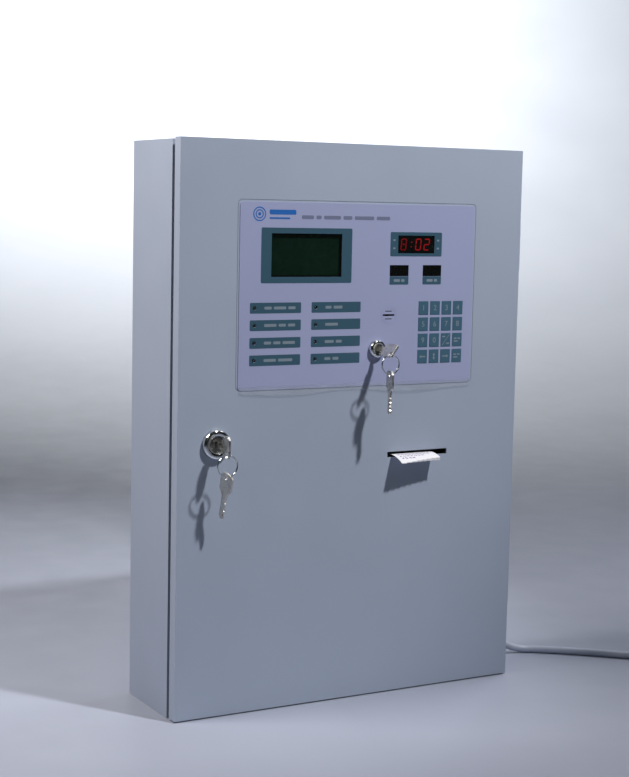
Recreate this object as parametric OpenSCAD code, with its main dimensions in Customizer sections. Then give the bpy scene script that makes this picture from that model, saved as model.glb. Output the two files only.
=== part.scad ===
// Fire alarm control panel: wall cabinet of sheet steel with a hinged door.
// Origin at the centre of the cabinet's underside, +X to the right, -Y out of the door, +Z up.

/* [Cabinet] */
// Width of the cabinet and of its door
cabinet_w = 350; // [346:1:400]
// Height of the cabinet shell
cabinet_h = 499; // [495:1:560]
// Depth of the shell from the wall to its front edge
shell_d = 82; // [80:1:100]
// Thickness of the sheet steel
sheet_t = 1.2; // [1:0.1:1.4]
// Width of the flange round the door opening
flange_w = 12; // [11:1:13]
// How far the rain lip stands forward of the shell
lip_d = 8.5; // [7:0.5:9]

/* [Door] */
// Depth of the door pan
door_d = 11; // [11:0.5:13]
// Gap between the shell's front edge and the door pan
door_gap = 5; // [4.5:0.5:6]
// Height of the door's bottom edge above the cabinet's underside
door_lift = 1.2; // [1:0.1:2]
// Diameter of the hinge pins
hinge_pin_d = 4; // [3:0.5:5]

/* [Front film] */
// Width of the printed film
film_w = 241; // [240:1:250]
// Height of the printed film
film_h = 162; // [160:1:166]
// Thickness of the film
film_t = 0.6; // [0.4:0.1:0.7]
// Corner radius of the film
film_r = 3; // [1:0.5:5]
// Width of the graphic display's window
lcd_w = 70; // [60:1:74]
// Height of the graphic display's window
lcd_h = 37.5; // [30:0.5:42]

/* [Keypad] */
// Width of a key
key_w = 10.4; // [8:0.1:10.6]
// Height of a key
key_h = 12.2; // [9:0.1:12.6]
// Spacing of the key columns
key_pitch_x = 12.55; // [12.55:0.05:12.8]
// Spacing of the key rows
key_pitch_z = 14.75; // [14.75:0.05:15]
// Travel of a key
key_travel = 0.5; // [0.2:0.1:0.5]

/* [Locks] */
// Diameter of the door lock's chrome collar
lock_d = 26; // [24:1:28]
// Diameter of the key switch's chrome collar
switch_d = 16; // [15:0.5:18]
// Tilt of the switch's key, clockwise from upright
switch_tilt = 36; // [20:1:40]
// Centreline radius of the door lock's key ring
lock_ring_r = 9.3; // [8.5:0.1:10]
// Centreline radius of the switch's key ring
switch_ring_r = 8.8; // [8.5:0.1:10]

/* [Printer] */
// Width of the paper slot
slot_w = 64.5; // [60:0.5:66]
// Height of the paper slot
slot_h = 5; // [4.5:0.5:6]
// Width of the paper
paper_w = 44.5; // [40:0.5:45]
// Diameter of the paper roll
roll_d = 32; // [24:1:34]
// Diameter of the feed roller
feed_d = 8; // [8:1:8]

/* [Inside] */
// Width of a standby battery
battery_w = 151; // [140:1:151]
// Height of a standby battery's case
battery_h = 94; // [80:1:94]
// Depth of a standby battery
battery_d = 65; // [55:1:65]
// Width of the main board
board_w = 240; // [220:1:250]
// Height of the main board
board_h = 170; // [160:1:170]

/* [Mains lead] */
// Diameter of the mains lead
lead_d = 7; // [6.5:0.5:7]

/* [Hidden] */
$fn = 64;
over = 1;              // how far a cutter runs past what it cuts
sink = 0.2;            // how far welded or soldered pieces run into each other
fit = 0.05;            // radial clearance of a running fit

// Planes from the wall forward
half_w = cabinet_w / 2;
wall_y = shell_d / 2;
inner_y = wall_y - sheet_t;
shell_y = -shell_d / 2;
pan_y = shell_y - door_gap;
face_y = pan_y - door_d;
skin_y = face_y + sheet_t;
film_y = face_y - film_t;
door_top = cabinet_h + door_lift;

// Wall fixing holes and cable entries
wall_hole_x = 161;
wall_hole_low = 120;
wall_hole_high = 470;
wall_hole_r = 3.5;
entry_r = 10;
entry_y = 8;
entry_pitch = 90;
entry_cut = [260, 44];
gland_plate_size = [280, 60];
gland_plate_t = 1.5;
gland_screws = [(entry_cut[0] + gland_plate_size[0]) / 4, entry_cut[1] / 2.5];
gland_y = 4;
gland_z = 11;
gland_thread_r = 8;
gland_flats = 18;
relief_l = 19;
earth_at = [142, 168];

// Hinges
hinge_x = half_w + 4.5;
hinge_y = (shell_y + pan_y) / 2;
barrel_r = 4;
hinge_heights = [90, 410];
knuckle_h = 14;
knuckle_gap = 0.3;
leaf_t = 1.5;
leaf_d = 22;

// Film and what shows through it
film_x = 1.5;
film_z = 367;
lcd_x = -53.5;
lcd_z = 402.5;
clock = [59.3, 412.6];
clock_size = [39, 16];
counters = [[41.6, 389], [76.8, 389]];
counter_size = [20, 10];
led_columns = [-104, -43.5];
led_rows = [357, 342, 326.8, 311.7];
led_hole_r = 1.8;
led_r = 1.5;
buzzer_at = [31.5, 349.2];
buzzer_r = 12;
keypad_x = 68.7;
keypad_z = 355;
key_count = 4;
key_gap = 0.15;
key_proud = 0.3;
key_rim = 0.9;
key_rim_t = 0.6;
key_rim_gap = 0.1;
plunger_y = face_y + key_rim_gap + key_rim_t + key_travel + 0.15;

// Display board
board_y = -45;
pcb_t = 1.6;
display_board_box = [[-115, 290], [118, 442]];
display_studs = [for (x = [-110, 10, 113]) for (z = [296, 437]) [x, z]];
lcd_studs = [for (x = [-96.5, -10.5]) for (z = [371, 434]) [x, z]];
stud_r = 2;
display_nut_flats = 5.5;

// Door lock
lock_x = -139;
lock_z = 241;
collar_d = 5.5;
barrel_lock_r = 9.5;
disc_r = 8.1;
disc_y = face_y - 3.4;
disc_t = 2;
plug_r = 6;
lock_rear_y = shell_y + 0.8;
cam_y = shell_y + 1.7;
cam_t = 2;
cam_l = 30;
cam_w = 14;
cam_square = 7;

// Key switch
switch_x = 19.3;
switch_z = 319.3;
head_d = 5;
switch_barrel_r = 6;
switch_plug_r = 4.5;
switch_disc_y = film_y - head_d + 0.9;
switch_rear_y = -36;

// Keys: the plate's thickness, the blade's height, and where the ring goes through
plate_t = 2;
blade_h = 5.6;
blade_slack = 0.2;
ring_wire_r = 0.75;
ring_hole_r = 2.75;
lock_ring_y = face_y - 23.5;
lock_ring_z = 234.6;
switch_ring_y = face_y - 29;
switch_ring_at = [17.12, 316.3];
lock_spare_lean = [12, 0, 12];
switch_spare_lean = [0, 0, -13];

// Printer, seen from the side
slot_x = 66.8;
slot_z = 222.1;
paper_x = 61.2;
paper_t = 0.3;
roll_y = -30;
roll_z = 184;
core_r = 5;
roll_gap = 0.2;
feed_y = -44;
feed_axle_r = 1.5;
frame_l = 28;
frame_r = 105.5;
frame_t = 1.5;
frame_z = [166, 232];
frame_back_y = -12;
frame_foot = 9;
frame_foot_top = 220;
spindle_collar_r = 9;
roll_w = 44;
bed_y = [-52, -18];
bed_z = [203, 212.5];
cheek_t = 3.5;
head_z = [222.8, 227];
feed_z = slot_z - paper_t / 2 - 0.06 - feed_d / 2;
printer_studs = [for (x = [frame_l - 5, frame_r + 5]) for (z = [175, 212]) [x, z]];

// Side view of the paper: over a bend, out of the slot, and down with a droop
bend_r = 8;
bend_steps = 6;
droop_l = 21.5;
droop_angle = 30;
droop_steps = 6;
torn_slant = 5.5;
paper_rise_y = roll_y + roll_d / 2 + roll_gap + paper_t / 2;
paper_lip_y = face_y + 1.5;

// Inside the cabinet
standoff = 8;
board_x = 5;
board_z = 385;
main_y = inner_y - standoff - pcb_t;
board_studs_x = [for (s = [-1, 0, 1]) board_x + s * (board_w / 2 - 6)];
board_studs_z = [for (s = [-1, 1]) board_z + s * (board_h / 2 - 6)];
terminal_pitch = 5.08;
terminal_size = [10, 12];
mains_terminal = [124, 132];
mains_terminal_t = 22;
supply_x = -101;
supply_z = 191;
supply_size = [98, 38, 159];
battery_back = 1.8;
bracket_z = 62;
bracket_h = 25;
bracket_t = 2;
panel_x = -10;
panel_y = -12;
panel_w = 60;
panel_z = [112, 182];
rocker_xs = [-24, 4];
rocker_z = 160;
rocker_y = panel_y + 1;
rocker_tilt = 12;
rocker_w = 12.8;
pivot_r = 1.5;
fuse_z = 128;

// Route of the mains lead: out of the gland, down and forward along the floor to its coil
lead_route = [[203, 4, 11], [215, 3.5, 10], [226, 1.5, 6], [237, -2.5, 3.6], [247.5, -8.5, 3.6],
    [257, -15.5, 3.6], [267, -22.5, 3.6], [276.5, -30, 3.6], [286, -37.5, 3.6], [295, -45, 3.6],
    [304, -53, 3.6], [313, -61, 3.6], [322, -69, 3.6], [330.5, -77, 3.6], [339.5, -85.5, 3.6],
    [348, -93.5, 3.6], [357, -101.5, 3.6], [363.5, -107.5, 3.6]];
// From the coil's upper turns to the plug
tail_route = [[439, -74, 11], [439, -62, 11], [439, -50, 11], [439, -40, 11]];
coil_at = [395, -74];
coil_in_r = 24.8;
coil_out_r = 49.6;
coil_h = 14.6;
lead_r = lead_d / 2;
lead_sides = 10;

// Plug lying on its side: neck, shoulder, body and pins along +Y
plug_x = 439;
plug_z = 11;
plug_neck_l = 22;
plug_shoulder_l = 8;
plug_l = 30;
plug_w = 36;
pin_t = 1.6;
pin_w = 6.4;
pin_l = 17;
earth_pin_l = 20;

// Flat loom from the cabinet's side wall to the display board
loom_route = [[150, 20, 300], [158, 0, 300], [156, -18, 300], [146, -30, 300], [130, -36, 300],
    [116, -37, 300]];
loom_r = 3;

// ---- shared shapes ----

// Box between two opposite corners
module block(low, high) {
    translate(low) cube(high - low);
}

// Cylinder along +Y, between two depths
module rod_y(r, x, z, y0, y1) {
    translate([x, y0, z]) rotate([-90, 0, 0]) cylinder(r = r, h = y1 - y0);
}

// Cylinder along +X, between two places
module rod_x(r, y, z, x0, x1) {
    translate([x0, y, z]) rotate([0, 90, 0]) cylinder(r = r, h = x1 - x0);
}

// Hexagonal prism along +Y, measured across its flats
module hex_y(flats, x, z, y0, y1) {
    translate([x, y0, z]) rotate([-90, 0, 0]) cylinder(d = flats / cos(30), h = y1 - y0, $fn = 6);
}

// Plate with round corners, its face in the XZ plane
module round_plate(x, z, w, h, r, y0, y1) {
    translate([x, y1, z]) rotate([90, 0, 0]) linear_extrude(y1 - y0) {
        square([w - 2 * r, h], center = true);
        square([w, h - 2 * r], center = true);
        for (sx = [-1, 1]) for (sz = [-1, 1])
            translate([sx * (w / 2 - r), sz * (h / 2 - r)]) circle(r);
    }
}

// Box centred on a place of the door's face
module panel_box(x, z, w, h, y0, y1) {
    block([x - w / 2, y0, z - h / 2], [x + w / 2, y1, z + h / 2]);
}

// Rectangular ring set in from the cabinet's outline
module outline_ring(inset, wide, y0, y1) {
    difference() {
        block([-half_w + inset, y0, inset], [half_w - inset, y1, cabinet_h - inset]);
        block([-half_w + inset + wide, y0 - over, inset + wide],
            [half_w - inset - wide, y1 + over, cabinet_h - inset - wide]);
    }
}

// Pan-head screw along Y whose head faces -Y
module screw_y(x, z, y_seat, head_r = 3, head_h = 1.8) {
    difference() {
        rod_y(head_r, x, z, y_seat - head_h, y_seat);
        panel_box(x, z, head_r * 1.4, 0.7, y_seat - head_h - over, y_seat - head_h + 0.7);
        panel_box(x, z, 0.7, head_r * 1.4, y_seat - head_h - over, y_seat - head_h + 0.7);
    }
}

function unit(v) = v / norm(v);
function direction(p, i) = unit(p[min(i + 1, len(p) - 1)] - p[max(i - 1, 0)]);
function ring_points(p, i, r, n) =
    let (t = direction(p, i), side = unit(cross(t, [0, 0, 1])), rise = cross(side, t))
    [for (k = [0 : n - 1]) p[i] + r * (cos(360 * k / n) * side + sin(360 * k / n) * rise)];

// Tube of n sides along a route
module sweep(route, r, n) {
    last = len(route) - 1;
    points = [for (i = [0 : last]) each ring_points(route, i, r, n)];
    walls = [for (i = [0 : last - 1]) for (k = [0 : n - 1])
        [i * n + k, (i + 1) * n + k, (i + 1) * n + (k + 1) % n, i * n + (k + 1) % n]];
    start = [for (k = [0 : n - 1]) k];
    end = [for (k = [0 : n - 1]) last * n + n - 1 - k];
    polyhedron(points = points, faces = concat(walls, [start], [end]));
}

// ---- cabinet ----

module cabinet_shell() {
    color("gainsboro") difference() {
        union() {
            difference() {
                block([-half_w, shell_y, 0], [half_w, wall_y, cabinet_h]);
                block([-half_w + sheet_t, shell_y - over, sheet_t],
                    [half_w - sheet_t, inner_y, cabinet_h - sheet_t]);
            }
            outline_ring(0, flange_w, shell_y, shell_y + sheet_t);
            outline_ring(flange_w - sheet_t, sheet_t, shell_y - lip_d, shell_y + sheet_t);
            for (x = board_studs_x) for (z = board_studs_z)
                rod_y(3, x, z, main_y + pcb_t, inner_y + sink);
        }
        for (x = [-wall_hole_x, wall_hole_x]) for (z = [wall_hole_low, wall_hole_high])
            rod_y(wall_hole_r, x, z, inner_y - over, wall_y + over);
        roof_plate(entry_cut, cabinet_h - sheet_t - over, sheet_t + 2 * over);
        rod_x(gland_thread_r, gland_y, gland_z, half_w - sheet_t - over, half_w + over);
    }
}

// Level plate centred on the cable entries
module roof_plate(size, z, thick) {
    translate([0, entry_y, z]) linear_extrude(thick) square(size, center = true);
}

// Removable plate under the opening in the roof, with the three cable entries
module gland_plate() {
    top = cabinet_h - sheet_t;
    color("gainsboro") difference() {
        roof_plate(gland_plate_size, top - gland_plate_t, gland_plate_t);
        for (i = [-1 : 1]) translate([i * entry_pitch, entry_y, top - gland_plate_t - over])
            cylinder(r = entry_r, h = gland_plate_t + 2 * over);
    }
}

// Knuckles of one hinge, lowest first; even ones belong to the cabinet
module knuckle(z, i) {
    low = z + (i - 1.5) * knuckle_h + knuckle_gap / 2;
    translate([hinge_x, hinge_y, low]) cylinder(r = barrel_r, h = knuckle_h - knuckle_gap);
}

module hinge_bore(z) {
    translate([hinge_x, hinge_y, z - 2 * knuckle_h])
        cylinder(r = hinge_pin_d / 2 + fit, h = 4 * knuckle_h);
}

module cabinet_hinge_leaves() {
    color("silver") for (z = hinge_heights) difference() {
        union() {
            for (i = [0, 2]) {
                knuckle(z, i);
                block([half_w, hinge_y + 1, z + (i - 1.5) * knuckle_h + knuckle_gap / 2],
                    [half_w + leaf_t, shell_y + leaf_d, z + (i - 0.5) * knuckle_h - knuckle_gap / 2]);
            }
            block([half_w, shell_y + 4, z - 1.5 * knuckle_h + knuckle_gap / 2],
                [half_w + leaf_t, shell_y + leaf_d, z + 1.5 * knuckle_h - knuckle_gap / 2]);
        }
        hinge_bore(z);
    }
}

module hinge_pins() {
    color("dimgray") for (z = hinge_heights) {
        translate([hinge_x, hinge_y, z - 1.5 * knuckle_h - 1])
            cylinder(d = hinge_pin_d, h = 3 * knuckle_h + 1);
        translate([hinge_x, hinge_y, z + 1.5 * knuckle_h]) cylinder(r = barrel_r - 0.6, h = 1.4);
    }
}

module component(x, z, w, h, tall) {
    panel_box(x, z, w, h, main_y - tall, main_y + sink);
}

module main_board() {
    color("seagreen") difference() {
        union() {
            panel_box(board_x, board_z, board_w, board_h, main_y, main_y + pcb_t);
            for (i = [0 : 3]) component(-96 + 22 * i, 333, 19, 15.5, 15);
            for (i = [0 : 1]) component(-60 + 60 * i, 390, 30, 30, 3.5);
            for (i = [0 : 2]) component(-95 + 24 * i, 428, 10, 18, 4);
            component(88, 395, 44, 36, 22);
            component(48, 350, 46, 12, 24);
            component(20, 432, 26, 14, 9);
            for (i = [0 : 3]) rod_y(6.5, 70 + 15 * i, 432, main_y - 21, main_y + sink);
            for (i = [0 : 2]) rod_y(4, 84 + 12 * i, 356, main_y - 12, main_y + sink);
        }
        for (x = board_studs_x) for (z = board_studs_z)
            rod_y(1.6, x, z, main_y - over, main_y + pcb_t + over);
    }
}

// Row of screw terminals with wire entries facing up or down
module terminal_row(x, z, ways, down) {
    w = ways * terminal_pitch;
    difference() {
        panel_box(x, z, w, terminal_size[0], main_y - terminal_size[1], main_y);
        for (i = [0 : ways - 1]) {
            at = x - w / 2 + (i + 0.5) * terminal_pitch;
            rod_y(1.7, at, z, main_y - terminal_size[1] - over, main_y - 7);
            translate([at, main_y - 4, down ? z - terminal_size[0] / 2 - over : z + 1])
                cylinder(r = 1.5, h = 4 + over);
        }
    }
}

module terminal_blocks() {
    color("limegreen") {
        for (x = [-78, -33, 35, 80]) {
            terminal_row(x, 311, 8, true);
            terminal_row(x, 459, 6, false);
        }
    }
    // Mains terminal on a rail above the gland
    color("ivory") difference() {
        panel_box(mains_terminal[0], mains_terminal[1], 48, 28, inner_y - mains_terminal_t, inner_y);
        for (i = [0 : 3])
            rod_y(3, mains_terminal[0] - 18 + 12 * i, mains_terminal[1], inner_y - mains_terminal_t - over,
                inner_y - 10);
    }
}

module power_supply() {
    low_y = inner_y - supply_size[1];
    color("silver") difference() {
        panel_box(supply_x, supply_z, supply_size[0], supply_size[2], low_y, inner_y);
        // Step for the terminals at the lower end
        panel_box(supply_x, supply_z - supply_size[2] / 2, supply_size[0] + 2 * over, 34,
            low_y - over, low_y + 20);
        for (i = [0 : 8])
            panel_box(supply_x, supply_z - 30 + 11 * i, 70, 4, low_y - over, low_y + 1.5);
    }
    color("dimgray") difference() {
        panel_box(supply_x, supply_z - supply_size[2] / 2 + 8.5, 84, 13, low_y + 6, low_y + 20);
        for (i = [0 : 7])
            rod_y(3, supply_x - 35 + 10 * i, supply_z - supply_size[2] / 2 + 8.5,
                low_y + 6 - over, low_y + 9);
    }
}

module battery(x) {
    front = inner_y - battery_back - battery_d;
    color("dimgray") {
        block([x - battery_w / 2, front, sheet_t],
            [x + battery_w / 2, front + battery_d, battery_h + sheet_t]);
        block([x - battery_w / 2 + 3, front + 3, battery_h],
            [x + battery_w / 2 - 3, front + battery_d - 3, battery_h + sheet_t + 2]);
    }
    color("gold") for (s = [-1, 1])
        block([x + s * 62 - 3, front + 8, battery_h], [x + s * 62 + 3, front + 8.8, battery_h + sheet_t + 7]);
}

module batteries() {
    for (s = [-1, 1]) battery(s * (battery_w / 2 + 4));
}

module battery_bracket() {
    leg_x = battery_w + 10;
    front = inner_y - battery_back - battery_d - 0.2;
    color("silver") difference() {
        union() {
            block([-leg_x, front - bracket_t, bracket_z - bracket_h / 2],
                [leg_x, front, bracket_z + bracket_h / 2]);
            for (s = [-1, 1]) {
                panel_box(s * (leg_x - bracket_t / 2), bracket_z, bracket_t, bracket_h,
                    front - bracket_t, inner_y);
                panel_box(s * (leg_x + 4), bracket_z, 12, bracket_h, inner_y - bracket_t, inner_y);
            }
        }
        for (s = [-1, 1])
            rod_y(2.2, s * (leg_x + 5), bracket_z, inner_y - bracket_t - over, inner_y + over);
    }
}

// Housing of a rocker switch, set through the switch panel
module rocker_housing(x) {
    difference() {
        union() {
            panel_box(x, rocker_z, 18, 26, panel_y - 2, panel_y);
            panel_box(x, rocker_z, 15.6, 23.2, panel_y - sink, panel_y + 18);
        }
        panel_box(x, rocker_z, rocker_w + 0.4, 21, panel_y - 2 - over, panel_y + 7);
        rod_x(pivot_r + fit, rocker_y, rocker_z, x - 7.4, x + 7.4);
    }
}

module switch_bracket() {
    left = panel_x - panel_w / 2;
    right = panel_x + panel_w / 2;
    color("silver") difference() {
        union() {
            block([left, panel_y, panel_z[0]], [right, panel_y + frame_t, panel_z[1]]);
            for (x = [left, right - frame_t])
                block([x, panel_y, panel_z[0]], [x + frame_t, inner_y, panel_z[1]]);
            block([right - frame_t, inner_y - frame_t, panel_z[0]], [right + 9, inner_y, panel_z[1]]);
            block([left - 9, inner_y - frame_t, panel_z[0]], [left + frame_t, inner_y, panel_z[1]]);
        }
        for (x = rocker_xs) {
            panel_box(x, rocker_z, 15.7, 23.3, panel_y - over, panel_y + frame_t + over);
            rod_y(6.1, x, fuse_z, panel_y - over, panel_y + frame_t + over);
        }
    }
    color("black") for (x = rocker_xs) {
        rocker_housing(x);
        rod_y(6, x, fuse_z, panel_y - 4, panel_y + 22);
        difference() {
            rod_y(7.5, x, fuse_z, panel_y - 8, panel_y);
            panel_box(x, fuse_z, 9, 1.2, panel_y - 8 - over, panel_y - 7);
        }
    }
}

// Rocker in its own section: ends stand out, the middle dips, the tail works the contacts
module rocker(x) {
    outline = [[-5, -9], [-2.5, 0], [-5, 9], [-1, 9], [3.5, 2.5], [3.5, -2.5], [-1, -9]];
    translate([x, rocker_y, rocker_z]) rotate([rocker_tilt, 0, 0]) {
        translate([-rocker_w / 2, 0, 0]) rotate([90, 0, 90]) linear_extrude(rocker_w) polygon(outline);
        rod_x(pivot_r, 0, 0, -7.2, 7.2);
    }
}

module mains_rocker() { color("crimson") rocker(rocker_xs[0]); }
module battery_rocker() { color("darkgreen") rocker(rocker_xs[1]); }

module cabinet_screws() {
    color("silver") {
        for (x = board_studs_x) for (z = board_studs_z) screw_y(x, z, main_y);
        for (s = [-1, 1]) screw_y(s * (battery_w + 15), bracket_z, inner_y - bracket_t, 3.4, 2);
        for (z = [122, 172]) for (x = [-45, 25]) screw_y(x, z, inner_y - frame_t, 2.6, 1.8);
        // Hinge leaf rivets
        for (z = hinge_heights) for (s = [-1, 1]) for (y = [10, 17])
            rod_x(2.6, shell_y + y, z + s * 12, half_w + leaf_t, half_w + leaf_t + 1);
        // Gland plate screws
        for (x = [-1, 1]) for (y = [-1, 1])
            translate([x * gland_screws[0], entry_y + y * gland_screws[1], cabinet_h])
                cylinder(r = 2.8, h = door_lift);
        // Earth stud with its washers and nut
        rod_y(3, earth_at[0], earth_at[1], inner_y - 16, inner_y);
        rod_y(6.5, earth_at[0], earth_at[1], inner_y - 3, inner_y);
        hex_y(10, earth_at[0], earth_at[1], inner_y - 8, inner_y - 3);
    }
}

// Cable gland with its locknut inside the wall and a tapered relief round the lead
module cable_gland() {
    color("black") {
        rod_x(gland_thread_r - fit, gland_y, gland_z, half_w - 8, half_w + sink);
        for (x = [half_w - sheet_t - 4.5, half_w])
            translate([x, gland_y, gland_z]) rotate([0, 90, 0]) rotate([0, 0, 30])
                cylinder(d = gland_flats / cos(30), h = x < half_w ? 4.5 : 4, $fn = 6);
        rod_x(8.6, gland_y, gland_z, half_w + 4 - sink, half_w + 9);
        translate([half_w + 9 - sink, gland_y, gland_z]) rotate([0, 90, 0])
            cylinder(r1 = 7.4, r2 = 4.3, h = relief_l + sink, $fn = 48);
    }
}

module mains_cord() {
    color("whitesmoke") {
        sweep(lead_route, lead_r, lead_sides);
        sweep(tail_route, lead_r, lead_sides);
    }
}

module cord_coil() {
    color("whitesmoke") translate([coil_at[0], coil_at[1], 0]) rotate_extrude($fn = 72) {
        translate([coil_in_r, lead_r]) square([coil_out_r - coil_in_r, coil_h - 2 * lead_r]);
        translate([coil_in_r + lead_r, 0]) square([coil_out_r - coil_in_r - 2 * lead_r, coil_h]);
        for (r = [coil_in_r + lead_r, coil_out_r - lead_r]) for (z = [lead_r, coil_h - lead_r])
            translate([r, z]) circle(lead_r);
    }
}

// Plug with three flat pins, lying on its side
module mains_plug() {
    neck_y = tail_route[len(tail_route) - 1][1];
    body_y = neck_y + plug_neck_l + plug_shoulder_l;
    pin_y = body_y + plug_l - sink;
    color("whitesmoke") {
        translate([plug_x, neck_y, plug_z]) rotate([-90, 0, 0])
            cylinder(r1 = 4.3, r2 = 7, h = plug_neck_l + sink, $fn = 48);
        block([plug_x - plug_w / 2, body_y, 0], [plug_x + plug_w / 2, body_y + plug_l, 2 * plug_z]);
        translate([plug_x, body_y + sink, plug_z]) rotate([90, 0, 0]) linear_extrude(plug_shoulder_l + sink)
            square([plug_w * 2 / 3, 2 * plug_z - 4], center = true);
    }
    color("gold") for (a = [-30, 30])
        translate([plug_x + sin(a) * 13, pin_y, plug_z + 2]) rotate([0, -a, 0])
            translate([-pin_t / 2, 0, -pin_w / 2]) cube([pin_t, pin_l, pin_w]);
    color("gold") translate([plug_x - pin_t / 2, pin_y, plug_z - 9]) cube([pin_t, earth_pin_l, pin_w]);
}

// ---- door ----

module key_place(i) {
    translate([keypad_x + (i % key_count) * key_pitch_x, 0, keypad_z - floor(i / key_count) * key_pitch_z])
        children();
}

module door_panel() {
    keypad_w = 3 * key_pitch_x + key_w + 2 * key_rim + 1.2;
    keypad_h = 3 * key_pitch_z + key_h + 2 * key_rim + 1.2;
    color("gainsboro") difference() {
        union() {
            difference() {
                block([-half_w, face_y, door_lift], [half_w, pan_y, door_top]);
                block([-half_w + sheet_t, skin_y, door_lift + sheet_t],
                    [half_w - sheet_t, pan_y + over, door_top - sheet_t]);
            }
            for (p = display_studs) rod_y(stud_r + 0.6, p[0], p[1], skin_y - sink, board_y);
            for (p = lcd_studs) rod_y(stud_r, p[0], p[1], skin_y - sink, board_y - 2.6);
            for (p = printer_studs) rod_y(1.9, p[0], p[1], skin_y - sink, skin_y + 5);
        }
        cut = [face_y - over, skin_y + sink];
        panel_box(lcd_x, lcd_z, lcd_w + 2, lcd_h + 2, cut[0], cut[1]);
        panel_box(clock[0], clock[1], clock_size[0] + 1, clock_size[1] + 1, cut[0], cut[1]);
        for (c = counters)
            panel_box(c[0], c[1], counter_size[0] + 1, counter_size[1] + 1, cut[0], cut[1]);
        for (x = led_columns) for (z = led_rows) rod_y(led_hole_r, x, z, cut[0], cut[1]);
        panel_box(keypad_x + 1.5 * key_pitch_x, keypad_z - 1.5 * key_pitch_z, keypad_w, keypad_h,
            cut[0], cut[1]);
        rod_y(8, buzzer_at[0], buzzer_at[1], cut[0], cut[1]);
        rod_y(barrel_lock_r + 0.1, lock_x, lock_z, cut[0], cut[1]);
        rod_y(switch_barrel_r + 0.1, switch_x, switch_z, cut[0], cut[1]);
        panel_box(slot_x, slot_z, slot_w, slot_h, cut[0], cut[1]);
    }
}

module door_gasket() {
    color("black") outline_ring(flange_w - 5, 9.5, skin_y, shell_y - lip_d - 0.3);
}

module door_hinge_leaves() {
    color("silver") for (z = hinge_heights) difference() {
        union() {
            knuckle(z, 1);
            block([half_w, face_y + 1.5, z - 0.5 * knuckle_h + knuckle_gap / 2],
                [half_w + leaf_t, hinge_y - 1, z + 0.5 * knuckle_h - knuckle_gap / 2]);
            block([half_w, face_y + 1.5, z - 1.5 * knuckle_h + knuckle_gap / 2],
                [half_w + leaf_t, pan_y - 1.8, z + 1.5 * knuckle_h - knuckle_gap / 2]);
        }
        hinge_bore(z);
    }
}

module front_film() {
    cut = [film_y - over, face_y + over];
    color("lavender") difference() {
        round_plate(film_x, film_z, film_w, film_h, film_r, film_y, face_y);
        panel_box(lcd_x, lcd_z, lcd_w, lcd_h, cut[0], cut[1]);
        panel_box(clock[0], clock[1], clock_size[0], clock_size[1], cut[0], cut[1]);
        for (c = counters) panel_box(c[0], c[1], counter_size[0], counter_size[1], cut[0], cut[1]);
        for (x = led_columns) for (z = led_rows) rod_y(led_hole_r, x, z, cut[0], cut[1]);
        for (i = [0 : key_count * key_count - 1]) key_place(i)
            panel_box(0, 0, key_w + 2 * key_gap, key_h + 2 * key_gap, cut[0], cut[1]);
        panel_box(buzzer_at[0], buzzer_at[1], 12.3, 1.6, cut[0], cut[1]);
        for (s = [-1, 1]) panel_box(buzzer_at[0], buzzer_at[1] + s * 3.5, 7, 0.8, cut[0], cut[1]);
        rod_y(switch_barrel_r + 0.1, switch_x, switch_z, cut[0], cut[1]);
    }
}

module display_windows() {
    slack = 0.05;
    y0 = film_y + 0.1;
    color("dimgray", 0.5) {
        panel_box(lcd_x, lcd_z, lcd_w - 2 * slack, lcd_h - 2 * slack, y0, face_y);
        panel_box(clock[0], clock[1], clock_size[0] - 2 * slack, clock_size[1] - 2 * slack, y0, face_y);
        for (c = counters)
            panel_box(c[0], c[1], counter_size[0] - 2 * slack, counter_size[1] - 2 * slack, y0, face_y);
    }
}

// Membrane key: a pad that stands through the film, kept in by a rim behind it
module membrane_key(i) {
    front = film_y - key_proud;
    rim_y = face_y + key_rim_gap;
    color("slategray") key_place(i) {
        panel_box(0, 0, key_w, key_h, front, rim_y + key_rim_t);
        panel_box(0, 0, key_w + 2 * key_rim, key_h + 2 * key_rim, rim_y, rim_y + key_rim_t);
    }
}

module lcd_module() {
    front = skin_y + 0.2;
    rear = board_y - 2.6;
    color("dimgray") difference() {
        panel_box(lcd_x, lcd_z, lcd_w + 10, lcd_h + 16, front, rear);
        panel_box(lcd_x, lcd_z, lcd_w + 2, lcd_h + 3, front - over, front + 2);
    }
    color("seagreen") difference() {
        panel_box(lcd_x, lcd_z, 93, 70, rear, rear + pcb_t);
        for (p = lcd_studs) rod_y(1.2, p[0], p[1], rear - over, rear + pcb_t + over);
    }
}

module segment_displays() {
    color("black") {
        panel_box(clock[0], clock[1], clock_size[0] - 0.4, clock_size[1] - 0.4, face_y + 0.1, board_y);
        for (c = counters)
            panel_box(c[0], c[1], counter_size[0] - 0.4, counter_size[1] - 0.4, face_y + 0.1, board_y);
    }
}

module status_leds() {
    color("darkgreen") for (x = led_columns) for (z = led_rows) {
        translate([x, film_y + led_r + 0.1, z]) sphere(led_r);
        rod_y(led_r, x, z, film_y + led_r + 0.1, face_y + 3.5);
        rod_y(led_r + 0.4, x, z, face_y + 2.5, face_y + 3.5);
        rod_y(1, x, z, face_y + 3.4, board_y);
    }
}

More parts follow.
